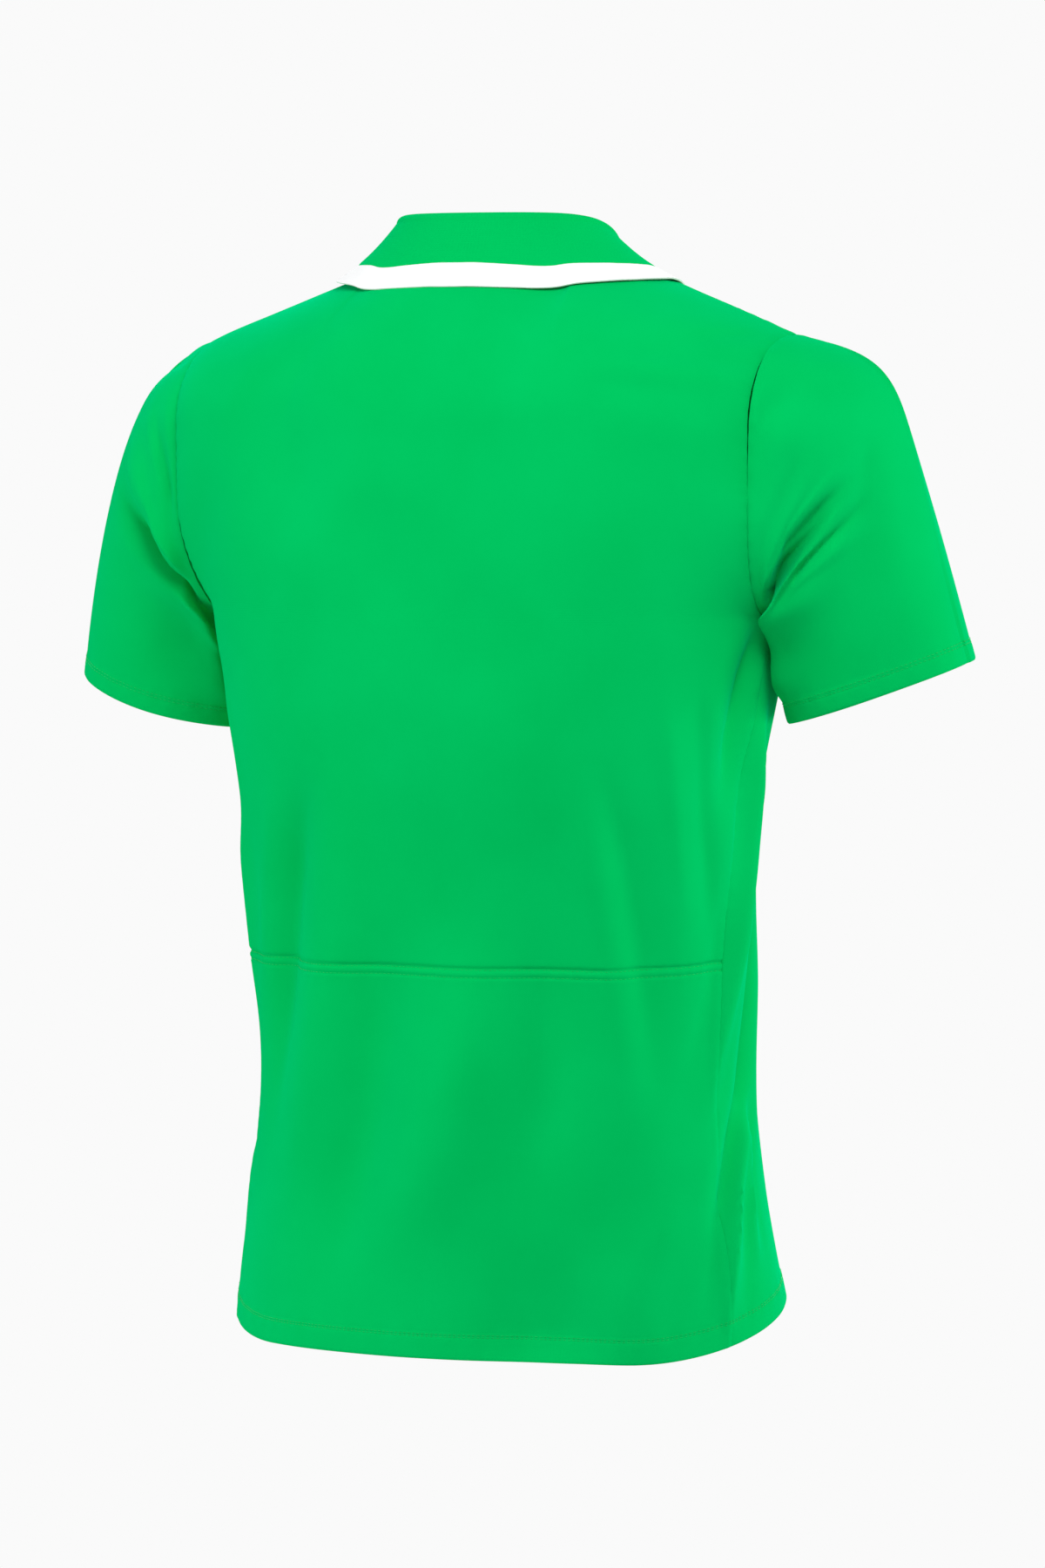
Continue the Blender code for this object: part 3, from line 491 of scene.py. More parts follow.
def upper_body(side, u, s):
    """Plain body above the armpits. s runs from 0 at armpit height to 1 at the shoulder and neckline."""
    u, s = np.broadcast_arrays(u, s)
    top_x, top_y, top_z, round_height, bend = column_top(side, u)
    straight = top_z - ARMPIT_Z - round_height
    outer = ease((np.abs(top_x) - ROUND_DEPTH_X[0]) / (ROUND_DEPTH_X[1] - ROUND_DEPTH_X[0]))
    depth = ROUND_DEPTH[0] + (ROUND_DEPTH[1] - ROUND_DEPTH[0]) * outer
    arc = ROUND_ARC * np.hypot(round_height, depth) * bend / (pi / 2)
    climb = s * (straight + arc)
    turned = np.clip((climb - straight) / arc, 0, 1) * bend
    z = ARMPIT_Z + np.minimum(climb, straight) + round_height * np.sin(turned) / np.sin(bend)
    kept = (np.cos(turned) - np.cos(bend)) / (1 - np.cos(bend))
    edge_x = read_table(ARMHOLE, s)["back_x" if side > 0 else "front_x"]
    edge_y = ARMHOLE_HALF_DEPTH[side] * np.sqrt(1 - (1 - np.clip(s / ARMHOLE_SCOOP, 0, 1)) ** 2)
    ring = read_table(BODY_RINGS, z)
    half_depth, centre_y = ring["half_depth"], ring["centre_y"]
    edge_angle = np.arccos(np.clip(edge_y / half_depth, 0, 1) ** (ROUND_Y / 2))
    reach = edge_x / np.sin(edge_angle) ** (2 / ROUND_X)
    ring_x = reach * np.sign(u) * np.abs(np.sin(u * edge_angle)) ** (2 / ROUND_X)
    x = ring_x + (top_x * edge_x / TIP_X - ring_x) * ease(s)
    share = np.clip(1 - np.abs(x / reach) ** ROUND_X, 0, 1) ** (1 / ROUND_Y)
    edge_share = np.clip(1 - np.abs(edge_x / reach) ** ROUND_X, 0, 1) ** (1 / ROUND_Y)
    share = np.where(np.abs(u) >= 1, edge_share, share)
    y = centre_y + side * half_depth * share
    return np.stack([x, top_y + (y - top_y) * kept, z], axis=-1)


def plain_skin(surface, side, u, v):
    """Points of a plain body surface and its outward normals."""
    u, v = np.broadcast_arrays(np.asarray(u, float), np.asarray(v, float))
    left, right = u - SKIN_STEP, u + SKIN_STEP
    if surface is upper_body:
        left, right = np.maximum(left, -1), np.minimum(right, 1)
    down, up = np.maximum(v - SKIN_STEP, 0), np.minimum(v + SKIN_STEP, 1)
    across = surface(side, right, v) - surface(side, left, v)
    climb = surface(side, u, up) - surface(side, u, down)
    return surface(side, u, v), -side * unit(np.cross(across, climb))


def lower_cloth(side, u, v):
    """Cloth below the armpits: points, normals and flat coordinates, with folds, seams and hem."""
    points, normals = plain_skin(lower_body, side, u, v)
    u, v = np.broadcast_arrays(u, v)
    angle, height = lower_angle(side, u, v), points[..., 2]
    level = HEM_Z + LOWER_HEIGHT * v
    relief = body_relief(angle, height) * ease((v * LOWER_HEIGHT + HEM_HOLD) / HEM_FADE)
    relief += seam_relief((1 - np.abs(u)) * PANEL_HALF_ARC, level, "side", side > 0)
    relief += hem_relief(v * LOWER_HEIGHT, HEM_LINES, angle * CHART_ARC)
    if side > 0:
        relief += back_seam_relief(BACK_SEAM_Z - level, angle * CHART_ARC)
    points = points + normals * relief[..., None]
    return points, normals, np.stack([angle * CHART_ARC * FLAT_STRETCH, height], axis=-1)


def back_seam_relief(below, along):
    """The cross seam: its valley, the raised band under its two lines of thread, and their grooves."""
    rising, falling = (ease((below - start) / over) for start, over in BACK_SEAM_BAND)
    sunk = sum(BACK_SEAM_SINK * swell(below - line, STITCH_SINK_WIDTH) for line in BACK_SEAM_LINES)
    pucker = puckers("back", along) * swell(below - BACK_SEAM_MIDDLE, PUCKER_REACH)
    valley = SEAM_DEPTH["back"] * swell(below, SEAM_WIDTH)
    return BACK_SEAM_RISE * (rising - falling) - sunk + pucker - valley


def armhole_lift(s):
    """How far the edge of the armhole is drawn out at each share of its height."""
    return ARMHOLE_LIFT * ease(s / ARMHOLE_LIFT_ENDS) * ease((1 - s) / ARMHOLE_LIFT_ENDS)


def upper_cloth(side, u, s):
    """Cloth above the armpits, with its folds and the valleys of its seams."""
    points, normals = plain_skin(upper_body, side, u, s)
    u, s = np.broadcast_arrays(u, s)
    angle = wrapped(u * pi / 2 if side > 0 else pi - u * pi / 2)
    height = ARMPIT_Z + UPPER_RUN * s
    at_armpit = ease(s / ARMPIT_SHARE)
    relief = body_relief(angle, height) * ease((1 - s) / TOP_FADE)
    from_edge = (1 - np.abs(u)) * PANEL_HALF_ARC
    relief += armhole_lift(s) * swell(from_edge, ARMHOLE_LIFT_WIDTH)
    relief += at_armpit * seam_relief(from_edge, height, "armhole", False)
    relief += (1 - at_armpit) * seam_relief(from_edge, height, "side", side > 0)
    outer = ease((np.abs(u) - NECK_SHARE + SHOULDER_START[0]) / SHOULDER_START[1])
    relief += outer * seam_relief((1 - s) * UPPER_RUN, u * PANEL_HALF_ARC, "shoulder", side > 0)
    points = points + normals * relief[..., None]
    return points, normals, np.stack([angle * CHART_ARC * FLAT_STRETCH, height], axis=-1)


def cloth(side, u, row):
    """The whole panel in one run of rows: 0 to 1 below the armpits and 1 to 2 above them."""
    u, row = np.broadcast_arrays(u, row)
    low = lower_cloth(side, u, np.minimum(row, 1))
    high = upper_cloth(side, u, np.clip(row - 1, 0, 1))
    return [np.where((row > 1)[..., None], b, a) for a, b in zip(low, high)]


# ---------------- meshes


CLOSEST_SHARE = 0.35


def refine(values, centres, reach, step):
    """Sorted values with finer ones added on both sides of each centre."""
    low, high = min(values), max(values)
    extra = [c + d for c in centres for d in np.arange(-reach, reach + step / 2, step)]
    spaced = [x for x in values if all(abs(x - c) > reach + step for c in centres)]
    every = sorted(spaced + [x for x in extra if low <= x <= high] + [low, high])
    kept = [every[0]]
    for x in every[1:]:
        if x - kept[-1] > step * CLOSEST_SHARE:
            kept.append(x)
    kept[-1] = high
    return np.array(kept)


def grid_quads(i, j, columns):
    """Corners of the cells at rows i and columns j of a grid whose last column joins the first."""
    k = (j + 1) % columns
    low, high = i * columns, (i + 1) * columns
    return np.stack([low + j, low + k, high + k, high + j], axis=-1)


def shell(name, outer, normals, flat, thickness, ring=False, keep=None):
    """A closed thin shell from a grid: outer skin, inner skin and rims, with its flat coordinates as UVs."""
    rows, columns = outer.shape[:2]
    inner = outer - normals * np.broadcast_to(thickness, (rows, columns))[..., None]
    spans = columns if ring else columns - 1
    keep = np.ones((rows - 1, spans), bool) if keep is None else keep
    skin_quads = grid_quads(*np.nonzero(keep), columns)
    total = rows * columns
    edges = np.concatenate([skin_quads[:, [n, (n + 1) % 4]] for n in range(4)])
    keys = np.sort(edges, axis=1) @ np.array([total, 1])
    _, first, count = np.unique(keys, return_index=True, return_counts=True)
    rim = edges[first[count == 1]]
    rim_quads = np.column_stack([rim[:, 1], rim[:, 0], rim[:, 0] + total, rim[:, 1] + total])
    quads = np.concatenate([skin_quads, skin_quads[:, ::-1] + total, rim_quads])
    points = np.concatenate([outer.reshape(-1, 3), inner.reshape(-1, 3)])
    coordinates = np.concatenate([flat.reshape(-1, 2)] * 2)
    return quad_mesh(name, points, quads, coordinates)


SHARP_ANGLE = radians(60)


def quad_mesh(name, points, quads, coordinates=None):
    """An object of quads, with unused points left out."""
    used, quads = np.unique(quads, return_inverse=True)
    quads = quads.reshape(-1, 4)
    points = points[used]
    mesh = bpy.data.meshes.new(name)
    mesh.vertices.add(len(points))
    mesh.vertices.foreach_set("co", points.ravel().astype(np.float32))
    mesh.loops.add(quads.size)
    mesh.loops.foreach_set("vertex_index", quads.ravel().astype(np.int32))
    mesh.polygons.add(len(quads))
    mesh.polygons.foreach_set("loop_start", np.arange(0, quads.size, 4, dtype=np.int32))
    mesh.update(calc_edges=True)
    if coordinates is not None:
        layer = mesh.uv_layers.new(name="cloth")
        layer.data.foreach_set("uv", coordinates[used][quads.ravel()].ravel().astype(np.float32))
    mesh.shade_smooth()
    mesh.set_sharp_from_angle(angle=SHARP_ANGLE)
    return add_object(name, mesh)


def add_object(name, data):
    added = bpy.data.objects.new(name, data)
    bpy.context.scene.collection.objects.link(added)
    return added


def dress(piece, material, slot, *nodes):
    """Material, body and the nodes that a piece stands for. The slot is not used."""
    piece.data.materials.append(material)
    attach(piece, "root")
    if nodes:
        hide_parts(*nodes)


# ---------------- panels

CELL_BACK = 0.0025
CELL_FRONT = 0.0030
CELL_SLEEVE = 0.0019
EDGE_CELL = 0.0007
TOP_ZONE = 0.01
TOP_CELL = 0.0028
ARMPIT_ROWS = 8


def panel_columns(cell):
    """Places across a panel, evenly spaced but finer at the side seams and armholes."""
    even = np.linspace(-1, 1, int(2 * PANEL_HALF_ARC / cell) + 1)
    step = EDGE_CELL / PANEL_HALF_ARC
    return refine(even, (-1.0, 1.0), 5 * step, step)


def lower_rows(cell, lines):
    """Row places from the hem to the armpits, finer at the hem's edge and at lines of stitches."""
    even = np.linspace(0, 1, int(LOWER_HEIGHT / cell) + 1)
    step = EDGE_CELL / LOWER_HEIGHT
    return refine(even, [line / LOWER_HEIGHT for line in (0.0, *lines)], 3 * step, step)


def upper_rows(cell):
    """Row places from the armpits to the top, finer at both ends."""
    rows = refine(np.linspace(1, 2, int(UPPER_RUN / cell) + 1), (2.0,), TOP_ZONE, TOP_CELL)
    return np.concatenate([np.linspace(1, rows[3], ARMPIT_ROWS + 1)[1:], rows[4:]])


CALM_PASSES = 40
CALM_WIDTH = 0.07
CALM_SPREAD = 6


def calmed(points, rows, columns):
    """Evens out the bend in the columns at armpit height, but not at the side seams."""
    weight = 0.5 * swell(rows[1:-1, None] - 1, CALM_WIDTH) * (1 - np.abs(columns[None, :]) ** CALM_SPREAD)
    for _ in range(CALM_PASSES):
        points = points.copy()
        points[1:-1] += weight[..., None] * ((points[:-2] + points[2:]) / 2 - points[1:-1])
    return points


def turned_thickness(from_edge, lines):
    """Doubled cloth up to the last line of a hem's stitches, thinner at its very edge."""
    above = ease((from_edge - lines[-1]) / HEM_STEP)
    rolled = 1 - EDGE_THINS * swell(from_edge, EDGE_THINS_OVER)
    return ((HEM_CLOTH + (CLOTH - HEM_CLOTH) * above) * rolled)[:, None]


def face_out(grid):
    """The back's columns, turned round so that it faces out as the front does."""
    return [part[:, ::-1] for part in grid]


SEAM_ROW = (BACK_SEAM_Z - HEM_Z) / LOWER_HEIGHT


def make_back(material):
    """The two back panels, which meet at the cross seam."""
    columns = panel_columns(CELL_BACK)
    lines = (*HEM_LINES, *(BACK_SEAM_Z - HEM_Z - line for line in (0.0, *BACK_SEAM_LINES)))
    rows = lower_rows(CELL_BACK, lines)
    below = np.append(rows[rows < SEAM_ROW], SEAM_ROW)
    above = np.append(SEAM_ROW, rows[rows > SEAM_ROW])
    parts = face_out(cloth(1, columns[None, :], below[:, None]))
    lower = shell("cloth_back_lower", *parts, turned_thickness(below * LOWER_HEIGHT, HEM_LINES))
    rows = np.concatenate([above, upper_rows(CELL_BACK)])
    points, normals, flat = cloth(1, columns[None, :], rows[:, None])
    parts = face_out((calmed(points, rows, columns), normals, flat))
    upper = shell("cloth_back_upper", *parts, CLOTH)
    dress(lower, material, "green_knit", "back_lower")
    dress(upper, material, "green_knit", "back_upper")


def make_front(material):
    """The front panel, with the slit that the placket lies over."""
    columns = panel_columns(CELL_FRONT)
    middle = np.argmin(np.abs(columns))
    columns[middle] = 0.0
    rows = np.concatenate([lower_rows(CELL_FRONT, HEM_LINES), upper_rows(CELL_FRONT)])
    points, normals, flat = cloth(-1, columns[None, :], rows[:, None])
    points = calmed(points, rows, columns)
    depth = points[-1, middle, 2] - points[:, middle, 2]
    keep = np.ones((len(rows) - 1, len(columns) - 1), bool)
    keep[depth[:-1] < SLIT_LENGTH, middle - SLIT_CELLS : middle + SLIT_CELLS] = False
    thickness = turned_thickness(np.minimum(rows, 1) * LOWER_HEIGHT, HEM_LINES)
    front = shell("cloth_front", points, normals, flat, thickness, keep=keep)
    dress(front, material, "green_knit", "front")


# ---------------- sleeves


ARMHOLE_SAMPLES = 801
SLEEVE_SAMPLES = 241


def armhole_steps(side, cells):
    """Shares of the armhole's height that space its points evenly along its edge."""
    s = np.linspace(0, 1, ARMHOLE_SAMPLES)
    length = travelled(upper_body(side, 1.0, s))
    return np.interp(np.linspace(0, length[-1], cells + 1), length, s)


@cache
def armhole_loop(cells):
    """The left armhole from the shoulder tip down the back to the armpit and up the front."""
    halves = []
    for side in (1, -1):
        steps = armhole_steps(side, cells)
        points, normals = plain_skin(upper_body, side, 1.0, steps)
        normals[0] = (1.0, 0.0, 0.0)
        halves.append((points + normals * armhole_lift(steps)[:, None], normals))
    back, front = halves
    return [np.concatenate([b[::-1], f[1:-1]]) for b, f in zip(back, front)]


def cuff_ring(cuff, down, place):
    """The cuff's points and their directions from its centre, by place round the sleeve."""
    across = unit(np.cross(np.cross(down, (1.0, 0.0, 0.0)), down))
    rearward = np.cross(across, down)
    rearward *= np.sign(rearward[1])
    turn = 2 * pi * place[:, None]
    radial = CUFF_HALF_WIDTH * np.cos(turn) * across + CUFF_HALF_DEPTH * np.sin(turn) * rearward
    return np.array(cuff) + radial, unit(radial)


def plain_sleeve(name, cells, share):
    """Rings of a plain sleeve, as for the wearer's left, at shares given for each place: rows by places."""
    points, normals = armhole_loop(cells)
    place = np.arange(len(points)) / len(points)
    leaves = read_table(SLEEVE_LEAVES, place)
    start = unit(np.stack([leaves["leave_x"], leaves["leave_y"], leaves["leave_z"]], axis=-1))
    inward = np.minimum(np.sum(start * normals, axis=1), 0)
    start = unit(start - inward[:, None] * normals)
    down = unit(np.array(SLEEVES[name]["down"]))
    cuff, radial = cuff_ring(SLEEVES[name]["cuff"], down, place)
    finish = unit(down - SLEEVE_TAPER * radial)
    stand = 1 + (SLEEVES[name]["cap"] - 1) * ((1 + np.cos(2 * pi * place)) / 2)
    leaving = points + (stand * leaves["leave_reach"])[:, None] * start
    arriving = cuff - leaves["arrive_reach"][:, None] * finish
    f = share[..., None]
    g = 1 - f
    grid = g**3 * points + 3 * f * g**2 * leaving + 3 * f * f * g * arriving + f**3 * cuff
    around = np.roll(grid, -1, axis=1) - np.roll(grid, 1, axis=1)
    out = unit(np.cross(around, np.gradient(grid, axis=0)))
    return grid, out * np.sign(np.sum(out[-1] * radial)), place


def sleeve_relief(name, place, share, from_armhole, from_cuff):
    """Rise of a sleeve's cloth: its folds, the armhole seam, the seam under the arm and the cuff's hem."""
    relief = np.zeros(share.shape)
    arc, run = place * SLEEVE_ARC, share * SLEEVE_RUN
    for points, half_width, rise, peak in fold_rows(SLEEVE_FOLDS[name]):
        chart = points / 100 * (SLEEVE_ARC, SLEEVE_RUN)
        relief += rise * fold_height(arc, run, chart, half_width, peak, CREASE_START)
    relief *= ease(from_armhole / ARMHOLE_FADE["folds"]) * ease((from_cuff - CUFF_FADE[0]) / CUFF_FADE[1])
    facing_body = 1 - ease((np.abs(place - 0.5) - INNER_PLACE) / INNER_PLACE)
    relief -= np.maximum(relief, 0) * facing_body
    swells = drift(arc * SLEEVE_DRIFT + SLEEVE_DRIFT_FROM, run * SLEEVE_DRIFT)
    relief += swells * ease(from_armhole / ARMHOLE_FADE["drift"])
    relief += seam_relief(from_armhole, arc, "armhole")
    under = np.abs(place - 0.5) * SLEEVE_ARC
    relief += seam_relief(under, from_cuff, "side", False) * ease(from_armhole / ARMHOLE_FADE["side"])
    return relief + hem_relief(from_cuff, CUFF_LINES, arc)


def sleeve_cloth(name, cells, rows):
    """A sleeve's points, normals and flat coordinates, at rows given as sleeve_rows gives them.

    Rows are spaced along the cloth itself: the last ones lie at fixed distances from the cuff's edge."""
    dense = np.linspace(0, 1, SLEEVE_SAMPLES)
    places = 2 * cells
    line, _, _ = plain_sleeve(name, cells, np.repeat(dense[:, None], places, axis=1))
    length = travelled(line)
    whole = length[-1]
    along, near_cuff = np.array(rows).T
    wanted = along[:, None] * (whole - near_cuff.max()) + (near_cuff.max() - near_cuff[:, None])
    share = np.stack([np.interp(wanted[:, k], length[:, k], dense) for k in range(places)], axis=1)
    points, normals, place = plain_sleeve(name, cells, share)
    place = np.broadcast_to(place, share.shape)
    relief = sleeve_relief(name, place, share, wanted, whole - wanted)
    points = points + normals * relief[..., None]
    flat = np.stack([place * SLEEVE_ARC, -wanted], axis=-1)
    if name == "sleeve_right":
        points, normals = points * (-1, 1, 1), normals * (-1, 1, 1)
    else:
        points, normals, flat = points[:, ::-1], normals[:, ::-1], flat[:, ::-1]
    return points, normals, flat


CUFF_REACH = 0.02
CUFF_CELL = 0.0006
SLEEVE_TOP_ZONE = 0.02
SLEEVE_TOP_STEP = 0.004
SLEEVE_ROWS_SHARE = 0.9
CUFF_ROWS = 10


def sleeve_rows():
    """Rows as pairs: share of the way to the start of the cuff's run, and distance from the cuff's edge."""
    even = np.linspace(0, 1, int(SLEEVE_RUN / CELL_SLEEVE * SLEEVE_ROWS_SHARE))
    upper = refine(even, (0.0,), SLEEVE_TOP_ZONE, SLEEVE_TOP_STEP)
    even = np.linspace(0, CUFF_REACH, CUFF_ROWS)
    cuff = refine(even, (0.0, *CUFF_LINES), 2 * CUFF_CELL, CUFF_CELL)[::-1]
    return [(a, CUFF_REACH) for a in upper] + [(1.0, d) for d in cuff[1:]]


def make_sleeve(name, material):
    rows = sleeve_rows()
    cells = int(SLEEVE_ARC / CELL_SLEEVE / 2)
    points, normals, flat = sleeve_cloth(name, cells, rows)
    thickness = turned_thickness(np.array(rows)[:, 1], CUFF_LINES)
    piece = shell("cloth_" + name, points, normals, flat, thickness, ring=True)
    dress(piece, material, "green_knit", name)


# ---------------- collar


def neckline(turn):
    """Neckline point at each angle from the centre back."""
    u = np.abs(turn)
    side_u = np.where(u <= pi / 2, u, pi - u) / (pi / 2) * NECK_SHARE
    points = np.zeros((len(turn), 3))
    for side, chosen in ((1, u <= pi / 2), (-1, u > pi / 2)):
        x, y, z, _, _ = column_top(side, side_u[chosen])
        points[chosen] = np.stack([x, y, z], axis=-1)
    points[:, 0] *= np.sign(turn)
    return points


NEAREST = 4
PLAN_REACH = 0.004
BODY_STEP = 0.0004
NO_BODY = -1.0
PLAN_ACROSS = (-0.9, 0.9, 181)
PLAN_UP = (0.45, 1.0, 161)


@cache
def body_plan():
    """Closely spaced upper body points, in plan, with their heights."""
    u, s = np.linspace(*PLAN_ACROSS), np.linspace(*PLAN_UP)
    body = np.concatenate([upper_body(side, u[None, :], s[:, None]).reshape(-1, 3) for side in (1, -1)])
    tree = KDTree(len(body))
    for k, point in enumerate(body):
        tree.insert((point[0], point[1], 0.0), k)
    tree.balance()
    return tree, body[:, 2]


def resting_height(plan):
    """Height of the body under each plan point, or a low value over the neck opening."""
    tree, body_z = body_plan()
    height = np.full(len(plan), NO_BODY)
    for i, (x, y) in enumerate(plan):
        near = tree.find_n((x, y, 0.0), NEAREST)
        if near[0][2] < PLAN_REACH:
            height[i] = body_z[[found[1] for found in near]].mean() + BODY_STEP
    return height


def collar_rings(turn):
    """Neckline, centre of the fold and edge of the leaf at each angle from the centre back."""
    neck = neckline(turn)
    reach = np.abs(turn)
    forward = (1 - np.cos(reach)) / 2
    fold_depth = np.where(reach <= pi / 2, FOLD_BACK, FOLD_FRONT)
    fold = np.stack([FOLD_X * np.sin(turn), FOLD_Y + fold_depth * np.cos(turn)], axis=-1)
    fold_z = FOLD_Z[1] + (FOLD_Z[-1] - FOLD_Z[1]) * forward**FOLD_DROP
    open_by = (LEAF_OPENING - COLLAR_OPENING) * ease((reach - LEAF_OPENS_FROM) / LEAF_OPENS_OVER)
    leaf_turn = np.sign(turn) * (reach - open_by)
    sideways, backward = np.sin(leaf_turn), np.cos(leaf_turn)
    ends = np.where(backward > 0, LEAF_MARGIN["back"], LEAF_MARGIN["front"])
    margin = ends + (LEAF_MARGIN["side"] - ends) * sideways**2
    neck_depth = np.where(backward > 0, NECK_REACH[1], NECK_REACH[-1])
    plan = np.stack([(NECK_X + margin) * sideways, NECK_Y + (neck_depth + margin) * backward], axis=-1)
    leaf = np.column_stack([plan, resting_height(plan) + LEAF_LIFT])
    return neck, np.column_stack([fold, fold_z]), leaf


STAND_ROWS = 14
FOLD_ROWS = 12
LEAF_ROWS = 22
BORDER_ROWS = 14
COLLAR_CELLS = 280
FOOT_INSET = 0.002
COLLAR_PASSES = 6
JOIN_SINK = 0.0005
JOIN_WIDTH = 0.001
BORDER_EDGE_SHARE = 0.6


def smooth_along(rows, passes):
    """Evens out each row lengthways, keeping its two ends."""
    for _ in range(passes):
        rows = rows.copy()
        rows[:, 1:-1] = (rows[:, :-2] + 2 * rows[:, 1:-1] + rows[:, 2:]) / 4
    return rows


def collar_grid(turn):
    """Rows of the collar's visible skin, up inside the stand, over the fold and down the leaf, and how
    many of them come before the border."""
    neck, fold, leaf = collar_rings(turn)
    out = unit(np.column_stack([(leaf - fold)[:, :2], np.zeros(len(turn))]))
    up = np.array((0.0, 0.0, 1.0))
    foot = neck - out * FOOT_INSET + up * SEAM_GAP
    inside = fold - out * FOLD_RADIUS
    rows = [foot + (inside - foot) * f for f in np.linspace(0, 1, STAND_ROWS + 1)[:-1]]
    turns = np.linspace(0, pi, FOLD_ROWS + 1)
    rows += [fold - out * FOLD_RADIUS * cos(a) + up * FOLD_RADIUS * sin(a) for a in turns]
    start = rows[-1]
    length = np.linalg.norm(leaf - start, axis=1)
    green = 1 - (BORDER + BORDER_BACK_RISE * swell(turn, BORDER_BACK_WIDTH)) / length

    def leaf_row(reach):
        """Points part of the way down the leaf, lifted where the body would come through it."""
        bow = (out + up) * LEAF_BOW * np.sin(pi * reach)[:, None]
        row = start + (leaf - start) * reach[:, None] + bow
        row[:, 2] = np.maximum(row[:, 2], resting_height(row[:, :2]) + LEAF_LIFT)
        return row

    rows += [leaf_row(green * f) for f in np.linspace(0, 1, LEAF_ROWS + 1)[1:]]
    border = [leaf_row(green + (1 - green) * f) for f in np.linspace(0, 1, BORDER_ROWS + 1)]
    return smooth_along(np.concatenate([rows, border[1:]]), COLLAR_PASSES), len(rows)


def make_collar(green, white):
    """The green collar and its white border, which meet at a fine groove."""
    turn = np.linspace(-pi + COLLAR_OPENING, pi - COLLAR_OPENING, COLLAR_CELLS + 1)
    whole, cut = collar_grid(turn)
    normals = unit(np.cross(np.gradient(whole, axis=1), np.gradient(whole, axis=0)))
    if normals[-1, COLLAR_CELLS // 2, 1] < 0:
        normals = -normals
        whole, normals = whole[:, ::-1], normals[:, ::-1]
    flat = paired(travelled(whole[cut])[None, :], travelled(whole.mean(axis=1))[:, None])
    from_join = np.abs(np.arange(len(whole)) - (cut - 1)) * BORDER / BORDER_ROWS
    points = whole - normals * (JOIN_SINK * swell(from_join, JOIN_WIDTH))[:, None, None]
    thickness = np.full((len(whole), 1), RIB_CLOTH)
    thickness[-1] *= BORDER_EDGE_SHARE
    parts = (points, normals, flat, thickness)
    collar = shell("rib_collar", *(part[:cut] for part in parts))
    border = shell("rib_collar_border", *(part[cut - 1 :] for part in parts))
    dress(collar, green, "green_rib", "collar")
    dress(border, white, "white_rib", "collar_border")


# ---------------- placket

PLACKET_ROWS = 100
PLACKET_CELLS = 24
STRIP_SAMPLES = 401


def front_strip(length, rows, cells):
    """Points of the front's skin beside the centre line, from the strip's foot to the neckline."""
    steps = np.linspace(0, 1, STRIP_SAMPLES)
    climb = travelled(upper_body(-1, 0.0, steps))
    from_top = climb[-1] - climb
    s = np.interp(np.linspace(length, PLACKET_TOP, rows + 1), from_top[::-1], steps[::-1])
    across = np.linspace(-NECK_SHARE, NECK_SHARE, STRIP_SAMPLES)
    wanted = np.linspace(-PLACKET_HALF, PLACKET_HALF, cells + 1)
    strip = []
    for row_s in s:
        line = upper_body(-1, across, row_s)
        strip.append(np.stack([np.interp(wanted, line[:, 0], line[:, k]) for k in range(3)], axis=-1))
    grid = np.array(strip)
    return grid, unit(np.cross(np.gradient(grid, axis=1), np.gradient(grid, axis=0)))


PLACKET_EDGE_LINE = 0.003
PLACKET_EDGE_DROP = 0.0003
PLACKET_EDGE_WIDTH = 0.0012


def make_placket(material):
    """The two plies, one under the front and one over it, each with a thinner edge and a stitched line."""
    grid, normals = front_strip(PLACKET_LENGTH, PLACKET_ROWS, PLACKET_CELLS)
    across = np.linspace(-PLACKET_HALF, PLACKET_HALF, PLACKET_CELLS + 1)[None, :]
    up = np.linspace(0, PLACKET_LENGTH, PLACKET_ROWS + 1)[:, None]
    edge = np.minimum(PLACKET_HALF - np.abs(across), up)
    relief = -PLACKET_EDGE_DROP * swell(edge, PLACKET_EDGE_WIDTH)
    relief -= STITCH_SINK * swell(edge - PLACKET_EDGE_LINE, PLACKET_EDGE_WIDTH)
    lifts = {"placket_under": -CLOTH - PLACKET_GAP, "placket_over": SEAM_GAP + PLACKET_CLOTH}
    for name, lift in lifts.items():
        points = grid + normals * (lift + relief)[..., None]
        piece = shell("cloth_" + name, points, normals, paired(across, up), PLACKET_CLOTH)
        dress(piece, material, "green_knit", name)


# ---------------- sewing

THREAD_RADIUS = 0.00024
STITCH_LENGTH = 0.0026
STITCH_GAP = 0.0006
STITCH_STATIONS = (
    ("share_of_length", "size", "height"),
    (0.0, 0.35, -1.0),
    (0.18, 0.90, 0.1),
    (0.5, 1.0, 0.55),
    (0.82, 0.90, 0.1),
    (1.0, 0.35, -1.0),
)
TANGENT_STEP = 1e-4
RING = 6
RING_ENDS = ([0, 1, 2, 3], [3, 4, 5, 0])


def stitches(points, normals, length=STITCH_LENGTH, gap=STITCH_GAP, radius=THREAD_RADIUS):
    """Thread along a line of points: rings of points for each stitch, arched and sunk at both ends."""
    run = travelled(points)
    count = max(1, int(run[-1] / (length + gap)))
    starts = np.arange(count) * run[-1] / count
    share, size, height = np.array(STITCH_STATIONS[1:]).T
    at = starts[:, None] + share[None, :] * length

    def sample(values, where):
        return np.stack([np.interp(where, run, values[:, k]) for k in range(3)], axis=-1)

    centre, normal = sample(points, at), unit(sample(normals, at))
    tangent = unit(sample(points, at + TANGENT_STEP) - sample(points, at - TANGENT_STEP))
    return thread_rings(centre + normal * (height * radius)[None, :, None], normal, tangent, size * radius)


